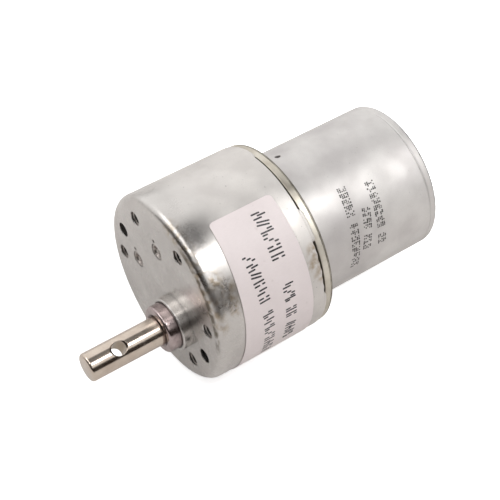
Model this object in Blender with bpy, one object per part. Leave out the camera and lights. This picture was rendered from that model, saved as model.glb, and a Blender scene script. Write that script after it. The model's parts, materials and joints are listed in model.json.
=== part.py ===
"""A geared DC motor: a brushed motor in a round can behind a drawn steel spur gearbox.

The origin is the centre of the gearbox's flat front face. The shaft points along -Y, the motor
lies along +Y, and every axis of rotation is parallel to Y. Sizes are in millimetres until a mesh
is made. An angle psi is measured about +Y, from +Z towards +X. Faces of pieces that seat on each
other stand SEAT_GAP apart, and journals run in their bushes with RUNNING_GAP all round. A cutter
runs CUT_OVERRUN past the faces that it cuts.
"""

import math

import bmesh
import bpy
from mathutils import Matrix, Vector

MM = 0.001
SEAT_GAP = 0.05
RUNNING_GAP = 0.03
CUT_OVERRUN = 1.0

# Gear train: (teeth, profile shift) of each wheel and pinion, in the order that power flows
MODULE = 0.5
PRESSURE_ANGLE = math.radians(20)
TOOTH_THINNING = 0.05
MOTOR_PINION = (10, 0.4)
WHEEL_1 = (28, -0.4)
PINION_1 = (10, 0.4)
WHEEL_2 = (36, -0.4)
PINION_2 = (10, 0.4)
WHEEL_3 = (36, -0.4)
PINION_3 = (16, 0.2)
OUTPUT_GEAR = (45, -0.2)

# The output axis lies this way from the motor axis; the two idler pins lie on the other side
OUTPUT_PSI = math.radians(131.25)

# Gearbox
HOUSING_RADIUS = 20.25
HOUSING_WALL = 1.0
HOUSING_DEPTH = 24.7
FACE_THICKNESS = 1.5
FACE_FILLET = 1.8
INNER_FILLET = 0.8
COLLAR_RADIUS = 5.7
COLLAR_HEIGHT = 2.4
COLLAR_CHAMFER = 0.3
SCREW_CIRCLE_RADIUS = 15.5
SCREW_HOLE_RADIUS = 1.5
SCREW_HOLES = 6
FIRST_SCREW_PSI = math.radians(-98)
LOCATING_HOLE_RADIUS = 1.55
LOCATING_HOLE_PSIS = (math.radians(-72), math.radians(115.3))
PLATE_RADIUS = 20.05
PLATE_FRONT = 24.05
PLATE_RIM_FRONT = HOUSING_DEPTH + SEAT_GAP
PLATE_BACK = 26.9
PIN_RADIUS = 1.25
PIN_HEAD_RADIUS = 1.7
SPACER_RADIUS = 2.1

# Output shaft and its bushes
SHAFT_RADIUS = 3.0
SHAFT_TIP = -21.3
SHAFT_CHAMFER = 0.4
CROSS_HOLE_RADIUS = 1.5
CROSS_HOLE_Y = -14.4
CROSS_HOLE_PSI = math.radians(26)
JOURNAL_RADIUS = 1.5
JOURNAL_START = 12.0
BUSH_RADIUS = 5.0
BUSH_FRONT = -4.9
BUSH_BACK = 3.2
REAR_BUSH_RADIUS = 2.5
REAR_BUSH_FRONT = PLATE_FRONT - 0.4
END_PLAY = 0.2
CLIP_GROOVE_WIDTH = 0.7
CLIP_GROOVE_DEPTH = 0.4
CLIP_RADIUS = 4.6
CLIP_HALF_ANGLE = math.radians(150)

# Axial span of each gear: (front, back)
OUTPUT_GEAR_SPAN = (4.4, 9.6)
PINION_3_SPAN = (4.0, 13.2)
WHEEL_3_SPAN = (10.2, 13.2)
PINION_2_SPAN = (9.7, 17.2)
WHEEL_2_SPAN = (14.2, 17.2)
PINION_1_SPAN = (13.5, 21.0)
WHEEL_1_SPAN = (18.0, 21.0)
MOTOR_PINION_SPAN = (17.7, 22.0)

# Motor
CAN_RADIUS = 16.0
CAN_WALL = 1.0
CAN_FRONT = PLATE_BACK + SEAT_GAP
CAN_BACK = 57.4
CAN_BACK_FILLET = 0.7
CAN_LIP_RADIUS = 13.6
CAN_LIP_FRONT = 56.0
VENT_Y = 31.6
VENT_PSI = math.radians(-19.6)
VENT_RADIUS = 0.6
HUB_RADIUS = 2.85
HUB_FRONT = 24.7
HUB_BACK = 29.0
MOTOR_BUSH_RADIUS = 2.0
MOTOR_REAR_BUSH_FRONT = 52.3
MOTOR_SHAFT_RADIUS = 1.0
MOTOR_SHAFT_BACK = 55.5
MOTOR_SCREW_RADIUS = 1.2
MOTOR_SCREW_CIRCLE = 8.5
BRUSH_PSIS = (math.radians(77.5), math.radians(257.5))
MAGNET_INNER = 12.3
MAGNET_SPAN = (32.0, 47.0)
MAGNET_HALF_ANGLE = math.radians(70)
CORE_SPAN = (33.5, 45.5)
CORE_RADIUS = 11.8
POLES = 3
SHOE_INNER_RADIUS = 9.9
SHOE_HALF_ANGLE = math.radians(50)
NECK_HALF_WIDTH = 2.4
CORE_HUB_RADIUS = 4.2
COIL_INNER = 4.8
COIL_OUTER = 8.6
COIL_HALF_WIDTH = 4.2
COIL_END = 1.6
COIL_CORNER = 0.9
COMMUTATOR_RADIUS = 3.1
COMMUTATOR_SPAN = (48.2, 51.5)
COMMUTATOR_SHEET = 0.45
SEGMENT_HALF_ANGLE = math.radians(55)
ARMATURE_WASHER_RADIUS = 2.3
ARMATURE_WASHER_SPANS = (("front", (29.1, 29.5)), ("rear", (51.6, 52.1)))
BRUSH_OUTER = 4.6
BRUSH_HALF_WIDTH = 0.9
BRUSH_ARM_SPAN = (49.4, 50.8)
BRUSH_ARM_OVERHANG = 1.2
BRUSH_LEAF = 0.3
END_CAP_RADIUS = CAN_RADIUS - CAN_WALL - SEAT_GAP
END_CAP_BACK = CAN_LIP_FRONT - SEAT_GAP
END_CAP_WALL = 1.8
END_CAP_SKIRT_FRONT = 50.0
END_CAP_SKIRT = 1.4
END_CAP_HUB_RADIUS = 4.0
TERMINAL_BACK = 60.7
TERMINAL_EYE_SETBACK = 1.3
TERMINAL_EYE_RADIUS = 0.6

# Opposite corners of a terminal's section, as (outward, sideways) from its brush's direction
TERMINAL_LOW = (5.6, 8.1)
TERMINAL_HIGH = (8.4, 8.6)

# Label on the gearbox's flank
LABEL_THICKNESS = 0.12
LABEL_SPAN = (6.0, 21.0)
LABEL_PSIS = (math.radians(17), math.radians(150))
LABEL_INNER = HOUSING_RADIUS + 0.04


def on_circle(radius, psi):
    """The (x, z) of a point at a radius and angle about the Y axis."""
    return radius * math.sin(psi), radius * math.cos(psi)


def facets(radius):
    """How many facets a round face of this radius gets."""
    if radius > 9:
        return 48
    if radius > 2.4:
        return 36
    return 20 if radius > 1 else 12


def gear_axes():
    """The (x, z) of idler pins 1 and 2 and of the output axis, from the meshing distances."""
    to_pin = MODULE * (MOTOR_PINION[0] + WHEEL_1[0]) / 2
    between_pins = MODULE * (PINION_1[0] + WHEEL_2[0]) / 2
    pin_to_output = MODULE * (PINION_3[0] + OUTPUT_GEAR[0]) / 2
    half_angle = math.asin(between_pins / 2 / to_pin)
    offset = math.sqrt(pin_to_output**2 - (between_pins / 2) ** 2) - to_pin * math.cos(half_angle)
    opposite = OUTPUT_PSI - math.pi
    return (
        on_circle(to_pin, opposite - half_angle),
        on_circle(to_pin, opposite + half_angle),
        on_circle(offset, OUTPUT_PSI),
    )


MOTOR_AXIS = (0.0, 0.0)
PIN_AXIS_1, PIN_AXIS_2, OUTPUT_AXIS = gear_axes()


def make_material(name, colour, metallic, roughness):
    """A Principled BSDF of one colour."""
    material = bpy.data.materials.new(name)
    material.use_nodes = True
    shader = material.node_tree.nodes["Principled BSDF"]
    shader.inputs["Base Color"].default_value = (*colour, 1.0)
    shader.inputs["Metallic"].default_value = metallic
    shader.inputs["Roughness"].default_value = roughness
    return material


def make_finishes():
    """Every material of the motor, by name."""
    looks = {
        "zinc_plate": ((0.62, 0.63, 0.60), 1.0, 0.38),
        "can_plate": ((0.70, 0.68, 0.67), 1.0, 0.42),
        "polished_steel": ((0.66, 0.62, 0.57), 1.0, 0.18),
        "gear_steel": ((0.45, 0.44, 0.42), 1.0, 0.35),
        "sintered_bronze": ((0.20, 0.15, 0.14), 1.0, 0.45),
        "brass": ((0.72, 0.55, 0.27), 1.0, 0.30),
        "ferrite": ((0.06, 0.06, 0.065), 0.0, 0.70),
        "laminations": ((0.33, 0.33, 0.35), 1.0, 0.50),
        "copper_wire": ((0.62, 0.26, 0.12), 1.0, 0.35),
        "copper": ((0.80, 0.42, 0.25), 1.0, 0.25),
        "carbon": ((0.03, 0.03, 0.03), 0.0, 0.60),
        "black_plastic": ((0.02, 0.02, 0.022), 0.0, 0.45),
        "label_paper": ((0.80, 0.74, 0.73), 0.0, 0.60),
    }
    return {name: make_material(name, *look) for name, look in looks.items()}


def finish_object(name, bm, axis, finish, edge_angle=30.0):
    """Turns a bmesh, in millimetres about its own axis, into an object placed on that axis."""
    bmesh.ops.recalc_face_normals(bm, faces=bm.faces)
    bmesh.ops.scale(bm, vec=(MM, MM, MM), verts=bm.verts)
    mesh = bpy.data.meshes.new(name)
    bm.to_mesh(mesh)
    bm.free()
    mesh.shade_smooth()
    mesh.set_sharp_from_angle(angle=math.radians(edge_angle))
    if finish:
        mesh.materials.append(finish)
    piece = bpy.data.objects.new(name, mesh)
    piece.location = (axis[0] * MM, 0.0, axis[1] * MM)
    bpy.context.scene.collection.objects.link(piece)
    return piece


def turned(name, profile, axis, finish):
    """A solid of revolution about Y. The profile is a closed outline of (y, radius) points."""
    bm = bmesh.new()
    verts = [bm.verts.new((radius, y, 0.0)) for y, radius in profile]
    on_axis = profile[0][1] == 0.0
    pairs = zip(verts, verts[1:] if on_axis else verts[1:] + verts[:1])
    edges = [bm.edges.new(pair) for pair in pairs]
    bmesh.ops.spin(
        bm,
        geom=verts + edges,
        cent=(0.0, 0.0, 0.0),
        axis=(0.0, 1.0, 0.0),
        angle=2 * math.pi,
        steps=facets(max(radius for y, radius in profile)),
        use_merge=True,
    )
    bmesh.ops.remove_doubles(bm, verts=bm.verts, dist=1e-5)
    return finish_object(name, bm, axis, finish)


def ring_profile(inner, outer, front, back):
    """The section of a plain ring."""
    return [(front, inner), (front, outer), (back, outer), (back, inner)]


def extruded(name, outline, span, axis, finish, edge_angle=30.0):
    """A prism along Y over a closed outline of (x, z) points about its axis."""
    bm = bmesh.new()
    face = bm.faces.new([bm.verts.new((x, span[0], z)) for x, z in outline])
    grown = bmesh.ops.extrude_face_region(bm, geom=[face])["geom"]
    moved = [item for item in grown if isinstance(item, bmesh.types.BMVert)]
    bmesh.ops.translate(bm, vec=(0.0, span[1] - span[0], 0.0), verts=moved)
    return finish_object(name, bm, axis, finish, edge_angle)


def add_cylinder(bm, start, end, radius):
    """Adds a closed cylinder between two points."""
    start, end = Vector(start), Vector(end)
    along = end - start
    place = Matrix.Translation((start + end) / 2) @ along.to_track_quat("Z", "Y").to_matrix().to_4x4()
    bmesh.ops.create_cone(
        bm,
        cap_ends=True,
        segments=facets(radius),
        radius1=radius,
        radius2=radius,
        depth=along.length,
        matrix=place,
    )


def add_boolean(piece, other, operation):
    """Joins a helper to a piece, or cuts it from the piece, and hides the helper."""
    other.hide_render = True
    other.display_type = "WIRE"
    modifier = piece.modifiers.new(other.name, "BOOLEAN")
    modifier.operation = operation
    modifier.object = other
    modifier.solver = "EXACT"


def drill(piece, holes):
    """Cuts round holes from a piece. Each hole is (start point, end point, radius)."""
    bm = bmesh.new()
    for start, end, radius in holes:
        add_cylinder(bm, start, end, radius)
    cutter = finish_object(f"{piece.name}_holes", bm, MOTOR_AXIS, None)
    add_boolean(piece, cutter, "DIFFERENCE")


def hole_along(axis, front, back, radius):
    """A hole parallel to Y, right through whatever lies between its front and back."""
    start = (axis[0], front - CUT_OVERRUN, axis[1])
    end = (axis[0], back + CUT_OVERRUN, axis[1])
    return start, end, radius


def arc(centre, radius, start, end, steps):
    """Points of an arc as (first, second) coordinates, its angle measured from the first."""
    angles = [start + (end - start) * i / steps for i in range(steps + 1)]
    return [(centre[0] + radius * math.cos(a), centre[1] + radius * math.sin(a)) for a in angles]


def sector_outline(inner, outer, middle, half_angle, steps):
    """A ring sector about Y."""
    psis = [middle + half_angle * (2 * i / steps - 1) for i in range(steps + 1)]
    return [on_circle(outer, psi) for psi in psis] + [on_circle(inner, psi) for psi in reversed(psis)]


def rectangle(low, high):
    """A rectangle between two opposite corners."""
    return [low, (high[0], low[1]), high, (low[0], high[1])]


def beside_brush(psi, outline):
    """Turns points given as (outward, sideways) from a brush's direction into (x, z)."""
    out = on_circle(1.0, psi)
    side = on_circle(1.0, psi + math.pi / 2)
    return [(r * out[0] + t * side[0], r * out[1] + t * side[1]) for r, t in outline]


def tip_radius(gear):
    """A gear's outer radius."""
    teeth, shift = gear
    return MODULE * (teeth / 2 + 1 + shift)


def gear_outline(gear, phase):
    """A spur gear with involute flanks, with a tooth centred at the angle phase."""
    teeth, shift = gear
    pitch = MODULE * teeth / 2
    base = pitch * math.cos(PRESSURE_ANGLE)
    root = pitch + MODULE * (shift - 1.25)
    tip = tip_radius(gear)
    half_at_base = (
        (math.pi / 2 + 2 * shift * math.tan(PRESSURE_ANGLE)) / teeth
        + math.tan(PRESSURE_ANGLE)
        - PRESSURE_ANGLE
        - TOOTH_THINNING / 2 / pitch
    )
    side = [(root, half_at_base)]
    for radius in (pitch, tip):
        roll = math.acos(base / radius)
        side.append((radius, half_at_base - (math.tan(roll) - roll)))
    outline = []
    for tooth in range(teeth):
        middle = phase + 2 * math.pi * tooth / teeth
        outline += [on_circle(radius, middle - half) for radius, half in side]
        outline += [on_circle(radius, middle + half) for radius, half in reversed(side)]
    return outline


def meshing_phase(gear, axis, phase, other, other_axis):
    """The phase that puts the other gear in mesh with this one."""
    across = math.atan2(other_axis[0] - axis[0], other_axis[1] - axis[1])
    part_of_pitch = (across - phase) * gear[0] / (2 * math.pi)
    return across + math.pi - (0.5 - part_of_pitch) * 2 * math.pi / other[0]


def toothed(name, gear, phase, span, axis, bore, finish):
    """A spur gear or pinion with a plain bore."""
    piece = extruded(name, gear_outline(gear, phase), span, axis, finish, edge_angle=20.0)
    drill(piece, [hole_along(axis, *span, bore)])
    return piece


def gear_train(finishes):
    """The motor pinion, three compound gears and the output gear, all in mesh."""
    steel = finishes["gear_steel"]
    brass = finishes["brass"]
    pin_bore = PIN_RADIUS + RUNNING_GAP
    toothed("motor_pinion", MOTOR_PINION, 0.0, MOTOR_PINION_SPAN, MOTOR_AXIS,
            MOTOR_SHAFT_RADIUS + SEAT_GAP, brass)
    driver, driver_axis, driver_phase = MOTOR_PINION, MOTOR_AXIS, 0.0
    stages = (
        ("1", WHEEL_1, WHEEL_1_SPAN, PINION_1, PINION_1_SPAN, PIN_AXIS_1),
        ("2", WHEEL_2, WHEEL_2_SPAN, PINION_2, PINION_2_SPAN, PIN_AXIS_2),
        ("3", WHEEL_3, WHEEL_3_SPAN, PINION_3, PINION_3_SPAN, PIN_AXIS_1),
    )
    for number, wheel, wheel_span, pinion, pinion_span, axis in stages:
        wheel_phase = meshing_phase(driver, driver_axis, driver_phase, wheel, axis)
        toothed(f"gear_{number}_wheel", wheel, wheel_phase, wheel_span, axis,
                tip_radius(pinion) + SEAT_GAP, brass if number == "1" else steel)
        toothed(f"gear_{number}_pinion", pinion, 0.0, pinion_span, axis, pin_bore, steel)
        driver, driver_axis, driver_phase = pinion, axis, 0.0
    phase = meshing_phase(driver, driver_axis, driver_phase, OUTPUT_GEAR, OUTPUT_AXIS)
    toothed("output_gear", OUTPUT_GEAR, phase, OUTPUT_GEAR_SPAN, OUTPUT_AXIS,
            SHAFT_RADIUS + SEAT_GAP, steel)


def screw_hole_psis():
    """The angles of the tapped holes in the face."""
    return [FIRST_SCREW_PSI + 2 * math.pi * i / SCREW_HOLES for i in range(SCREW_HOLES)]


def gearbox_housing(finishes):
    """A deep-drawn cup with a collar for the output bush and the holes of its face."""
    inner = HOUSING_RADIUS - HOUSING_WALL
    outer_corner = arc((FACE_FILLET, HOUSING_RADIUS - FACE_FILLET), FACE_FILLET, math.pi, math.pi / 2, 6)
    inner_corner = arc(
        (FACE_THICKNESS + INNER_FILLET, inner - INNER_FILLET), INNER_FILLET, math.pi / 2, math.pi, 3
    )
    profile = [(0.0, 0.0)] + outer_corner + [(HOUSING_DEPTH, HOUSING_RADIUS), (HOUSING_DEPTH, inner)]
    profile += inner_corner + [(FACE_THICKNESS, 0.0)]
    housing = turned("gearbox_housing", profile, MOTOR_AXIS, finishes["zinc_plate"])
    collar_profile = [
        (-COLLAR_HEIGHT, 0.0),
        (-COLLAR_HEIGHT, COLLAR_RADIUS - COLLAR_CHAMFER),
        (-COLLAR_HEIGHT + COLLAR_CHAMFER, COLLAR_RADIUS),
        (FACE_THICKNESS / 2, COLLAR_RADIUS),
        (FACE_THICKNESS / 2, 0.0),
    ]
    collar = turned("gearbox_collar_join", collar_profile, OUTPUT_AXIS, None)
    add_boolean(housing, collar, "UNION")
    holes = [hole_along(on_circle(SCREW_CIRCLE_RADIUS, psi), 0.0, FACE_THICKNESS, SCREW_HOLE_RADIUS)
             for psi in screw_hole_psis()]
    holes += [hole_along(on_circle(SCREW_CIRCLE_RADIUS, psi), 0.0, FACE_THICKNESS, LOCATING_HOLE_RADIUS)
              for psi in LOCATING_HOLE_PSIS]
    holes += [hole_along(axis, 0.0, FACE_THICKNESS, PIN_HEAD_RADIUS + SEAT_GAP)
              for axis in (PIN_AXIS_1, PIN_AXIS_2)]
    holes.append(hole_along(OUTPUT_AXIS, -COLLAR_HEIGHT, FACE_THICKNESS, BUSH_RADIUS + SEAT_GAP))
    drill(housing, holes)


def gearbox_back_plate(finishes):
    """The plate that closes the cup and carries the motor, with a register that enters the cup."""
    register = HOUSING_RADIUS - HOUSING_WALL - SEAT_GAP
    edge = 0.25
    profile = [
        (PLATE_FRONT, 0.0),
        (PLATE_FRONT, register - edge),
        (PLATE_FRONT + edge, register),
        (PLATE_RIM_FRONT, register),
        (PLATE_RIM_FRONT, PLATE_RADIUS - edge),
        (PLATE_RIM_FRONT + edge, PLATE_RADIUS),
        (PLATE_BACK - edge, PLATE_RADIUS),
        (PLATE_BACK, PLATE_RADIUS - edge),
        (PLATE_BACK, 0.0),
    ]
    plate = turned("gearbox_back_plate", profile, MOTOR_AXIS, finishes["zinc_plate"])
    bores = [(MOTOR_AXIS, HUB_RADIUS), (OUTPUT_AXIS, REAR_BUSH_RADIUS)]
    bores += [(axis, PIN_RADIUS) for axis in (PIN_AXIS_1, PIN_AXIS_2)]
    bores += [(axis, MOTOR_SCREW_RADIUS) for axis in motor_screw_axes()]
    drill(plate, [hole_along(axis, PLATE_FRONT, PLATE_BACK, radius + SEAT_GAP) for axis, radius in bores])


def idler_pins(finishes):
    """Two fixed pins, headed flush with the front face, with spacers that place the gears."""
    pin_profile = [
        (0.0, 0.0),
        (0.0, PIN_HEAD_RADIUS),
        (FACE_THICKNESS, PIN_HEAD_RADIUS),
        (FACE_THICKNESS, PIN_RADIUS),
        (PLATE_BACK, PIN_RADIUS),
        (PLATE_BACK, 0.0),
    ]
    front = FACE_THICKNESS + SEAT_GAP
    back = PLATE_FRONT - SEAT_GAP
    side_play = 0.15
    stacks = (
        ("1", PIN_AXIS_1, PINION_3_SPAN[0], PINION_1_SPAN[1]),
        ("2", PIN_AXIS_2, PINION_2_SPAN[0], PINION_2_SPAN[1]),
    )
    for number, axis, first_gear, last_gear in stacks:
        turned(f"idler_pin_{number}", pin_profile, axis, finishes["polished_steel"])
        bore = PIN_RADIUS + SEAT_GAP
        for place, span in (
            ("front", (front, first_gear - side_play)),
            ("rear", (last_gear + side_play, back)),
        ):
            turned(f"pin_{number}_{place}_spacer", ring_profile(bore, SPACER_RADIUS, *span),
                   axis, finishes["brass"])


def output_shaft(finishes):
    """The drilled output shaft, with a groove for its clip and a thin rear journal."""
    groove_front = OUTPUT_GEAR_SPAN[1] + END_PLAY
    groove_back = groove_front + CLIP_GROOVE_WIDTH
    groove_radius = SHAFT_RADIUS - CLIP_GROOVE_DEPTH
    profile = [
        (SHAFT_TIP, 0.0),
        (SHAFT_TIP, SHAFT_RADIUS - SHAFT_CHAMFER),
        (SHAFT_TIP + SHAFT_CHAMFER, SHAFT_RADIUS),
        (groove_front, SHAFT_RADIUS),
        (groove_front, groove_radius),
        (groove_back, groove_radius),
        (groove_back, SHAFT_RADIUS),
        (JOURNAL_START, SHAFT_RADIUS),
        (JOURNAL_START, JOURNAL_RADIUS),
        (PLATE_BACK, JOURNAL_RADIUS),
        (PLATE_BACK, 0.0),
    ]
    shaft = turned("output_shaft", profile, OUTPUT_AXIS, finishes["polished_steel"])
    across = on_circle(SHAFT_RADIUS + CUT_OVERRUN, CROSS_HOLE_PSI)
    top = (OUTPUT_AXIS[0] + across[0], CROSS_HOLE_Y, OUTPUT_AXIS[1] + across[1])
    bottom = (OUTPUT_AXIS[0] - across[0], CROSS_HOLE_Y, OUTPUT_AXIS[1] - across[1])
    drill(shaft, [(top, bottom, CROSS_HOLE_RADIUS)])
    washer_span = (BUSH_BACK + END_PLAY / 2, OUTPUT_GEAR_SPAN[0] - END_PLAY)
    washer = ring_profile(SHAFT_RADIUS + SEAT_GAP, BUSH_RADIUS, *washer_span)
    turned("output_thrust_washer", washer, OUTPUT_AXIS, finishes["polished_steel"])
    clip_span = (groove_front + SEAT_GAP, groove_back - SEAT_GAP)
    clip = sector_outline(groove_radius + SEAT_GAP, CLIP_RADIUS, OUTPUT_PSI, CLIP_HALF_ANGLE, 24)
    extruded("output_clip", clip, clip_span, OUTPUT_AXIS, finishes["gear_steel"])


def output_bushes(finishes):
    """The sintered bush in the collar and the small one in the back plate."""
    bore = SHAFT_RADIUS + RUNNING_GAP
    mouth = 0.5
    edge = 0.4
    front_bush = [
        (BUSH_FRONT, bore + mouth),
        (BUSH_FRONT, BUSH_RADIUS - edge),
        (BUSH_FRONT + edge, BUSH_RADIUS),
        (BUSH_BACK, BUSH_RADIUS),
        (BUSH_BACK, bore),
        (BUSH_FRONT + mouth, bore),
    ]
    turned("output_bush", front_bush, OUTPUT_AXIS, finishes["sintered_bronze"])
    rear_bush = ring_profile(JOURNAL_RADIUS + RUNNING_GAP, REAR_BUSH_RADIUS, REAR_BUSH_FRONT, PLATE_BACK)
    turned("output_rear_bush", rear_bush, OUTPUT_AXIS, finishes["sintered_bronze"])


def motor_screw_axes():
    """The (x, z) of the two screws that hold the motor to the back plate."""
    return [on_circle(MOTOR_SCREW_CIRCLE, OUTPUT_PSI + side) for side in (-math.pi / 2, math.pi / 2)]


def motor_screws(finishes):
    """Cheese-head screws through the back plate into the can, heads inside the gearbox."""
    head_back = PLATE_FRONT - SEAT_GAP
    head_front = head_back - 1.3
    head_radius = 2.1
    slot_back = head_front + 0.6
    slot_half_width = 0.3
    tip = CAN_FRONT + CAN_WALL + 0.6
    tip_chamfer = 0.3
    profile = [
        (head_front, 0.0),
        (head_front, head_radius),
        (head_back, head_radius),
        (head_back, MOTOR_SCREW_RADIUS),
        (tip - tip_chamfer, MOTOR_SCREW_RADIUS),
        (tip, MOTOR_SCREW_RADIUS - tip_chamfer),
        (tip, 0.0),
    ]
    slot_reach = head_radius + CUT_OVERRUN
    slot = rectangle((-slot_reach, -slot_half_width), (slot_reach, slot_half_width))
    for number, axis in enumerate(motor_screw_axes(), 1):
        screw = turned(f"motor_screw_{number}", profile, axis, finishes["polished_steel"])
        slot_span = (head_front - CUT_OVERRUN, slot_back)
        cutter = extruded(f"motor_screw_{number}_slot", slot, slot_span, axis, None)
        add_boolean(screw, cutter, "DIFFERENCE")


def motor_can(finishes):
    """The drawn can: closed at the front round its bush hub, its rear edge rolled in."""
    inner = CAN_RADIUS - CAN_WALL
    back_corner = arc(
        (CAN_BACK - CAN_BACK_FILLET, CAN_RADIUS - CAN_BACK_FILLET), CAN_BACK_FILLET, math.pi / 2, 0.0, 4
    )
    bush_seat = MOTOR_BUSH_RADIUS + SEAT_GAP
    edge = 0.6
    profile = [
        (HUB_FRONT, bush_seat),
        (HUB_FRONT, HUB_RADIUS),
        (CAN_FRONT, HUB_RADIUS),
        (CAN_FRONT, CAN_RADIUS - edge),
        (CAN_FRONT + edge, CAN_RADIUS),
    ]
    profile += back_corner + [
        (CAN_BACK, CAN_LIP_RADIUS),
        (CAN_LIP_FRONT, CAN_LIP_RADIUS),
        (CAN_LIP_FRONT, inner),
        (CAN_FRONT + CAN_WALL, inner),
        (CAN_FRONT + CAN_WALL, HUB_RADIUS),
        (HUB_BACK, HUB_RADIUS),
        (HUB_BACK, bush_seat),
    ]
    can = turned("motor_can", profile, MOTOR_AXIS, finishes["can_plate"])
    holes = [hole_along(axis, CAN_FRONT, CAN_FRONT + CAN_WALL, MOTOR_SCREW_RADIUS + SEAT_GAP)
             for axis in motor_screw_axes()]
    outside = on_circle(CAN_RADIUS + CUT_OVERRUN, VENT_PSI)
    inside = on_circle(inner - CUT_OVERRUN, VENT_PSI)
    holes.append(((outside[0], VENT_Y, outside[1]), (inside[0], VENT_Y, inside[1]), VENT_RADIUS))
    drill(can, holes)


def motor_bushes(finishes):
    """The sintered bushes in the can's hub and in the end cap."""
    bore = MOTOR_SHAFT_RADIUS + RUNNING_GAP
    spans = {
        "motor_front_bush": (HUB_FRONT, HUB_BACK),
        "motor_rear_bush": (MOTOR_REAR_BUSH_FRONT, MOTOR_SHAFT_BACK),
    }
    for name, span in spans.items():
        turned(name, ring_profile(bore, MOTOR_BUSH_RADIUS, *span), MOTOR_AXIS, finishes["sintered_bronze"])


def magnets(finishes):
    """Two ferrite arcs, and the spring clip that pushes them apart."""
    outer = CAN_RADIUS - CAN_WALL - SEAT_GAP
    for number, psi in enumerate(BRUSH_PSIS, 1):
        outline = sector_outline(MAGNET_INNER, outer, psi, MAGNET_HALF_ANGLE, 14)
        extruded(f"magnet_{number}", outline, MAGNET_SPAN, MOTOR_AXIS, finishes["ferrite"])
    middle = (BRUSH_PSIS[0] + BRUSH_PSIS[1]) / 2 + math.pi
    reach = math.pi / 2 - MAGNET_HALF_ANGLE - math.radians(1)
    leg = math.radians(3)
    leg_inner = outer - 2.0
    sheet = 0.5
    bridge = [middle + reach * (i / 3 - 1) for i in range(7)]
    clip = [on_circle(outer, psi) for psi in bridge]
    clip += [on_circle(leg_inner, middle + reach), on_circle(leg_inner, middle + reach - leg)]
    inner_bridge = [middle + (reach - leg) * (1 - i / 3) for i in range(7)]
    clip += [on_circle(outer - sheet, psi) for psi in inner_bridge]
    clip += [on_circle(leg_inner, middle - reach + leg), on_circle(leg_inner, middle - reach)]
    clip_span = (MAGNET_SPAN[0] + 1, MAGNET_SPAN[1] - 1)
    extruded("magnet_clip", clip, clip_span, MOTOR_AXIS, finishes["gear_steel"])


def core_outline():
    """The lamination of a wound armature: poles with necks and shoes about a hub."""
    outline = []
    neck_at_hub = math.asin(NECK_HALF_WIDTH / CORE_HUB_RADIUS)
    neck_at_shoe = math.asin(NECK_HALF_WIDTH / SHOE_INNER_RADIUS)
    halfway = (neck_at_shoe + SHOE_HALF_ANGLE) / 2
    side = [
        (CORE_HUB_RADIUS, neck_at_hub),
        (SHOE_INNER_RADIUS, neck_at_shoe),
        (SHOE_INNER_RADIUS, halfway),
        (SHOE_INNER_RADIUS, SHOE_HALF_ANGLE),
    ]
    for pole in range(POLES):
        psi = 2 * math.pi * pole / POLES
        outline.append(on_circle(CORE_HUB_RADIUS, psi - math.pi / POLES))
        outline += [on_circle(radius, psi - angle) for radius, angle in side]
        shoe = [psi + SHOE_HALF_ANGLE * (i / 5 - 1) for i in range(11)]
        outline += [on_circle(CORE_RADIUS, angle) for angle in shoe]
        outline += [on_circle(radius, psi + angle) for radius, angle in reversed(side)]
    return outline


def winding(name, psi, finish):
    """A coil round one pole's neck, as a rounded frame that stands out past both core faces."""
    middle = sum(CORE_SPAN) / 2
    clear = 3 * SEAT_GAP
    inner_half = (NECK_HALF_WIDTH + clear, (CORE_SPAN[1] - CORE_SPAN[0]) / 2 + clear)
    outer_half = (COIL_HALF_WIDTH, inner_half[1] + COIL_END)
    bm = bmesh.new()
    rings = []
    for half, corner_radius, height in (
        (inner_half, SEAT_GAP, COIL_INNER),
        (outer_half, COIL_CORNER, COIL_INNER),
        (outer_half, COIL_CORNER, COIL_OUTER),
        (inner_half, SEAT_GAP, COIL_OUTER),
    ):
        points = []
        for quarter in range(4):
            sign_x = 1 if quarter in (0, 3) else -1
            sign_y = 1 if quarter in (0, 1) else -1
            centre = (sign_x * (half[0] - corner_radius), sign_y * (half[1] - corner_radius))
            start = quarter * math.pi / 2
            points += arc(centre, corner_radius, start, start + math.pi / 2, 3)
        rings.append([bm.verts.new((x, height, -y)) for x, y in points])
    for ring, following in zip(rings, rings[1:] + rings[:1]):
        for i in range(len(ring)):
            j = (i + 1) % len(ring)
            bm.faces.new((ring[i], ring[j], following[j], following[i]))
    radial = Vector((math.sin(psi), 0.0, math.cos(psi)))
    tangent = Vector((math.cos(psi), 0.0, -math.sin(psi)))
    turn = Matrix((tangent, radial, tangent.cross(radial))).transposed().to_4x4()
    bmesh.ops.transform(bm, matrix=Matrix.Translation((0.0, middle, 0.0)) @ turn, verts=bm.verts)
    return finish_object(name, bm, MOTOR_AXIS, finish)


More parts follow.
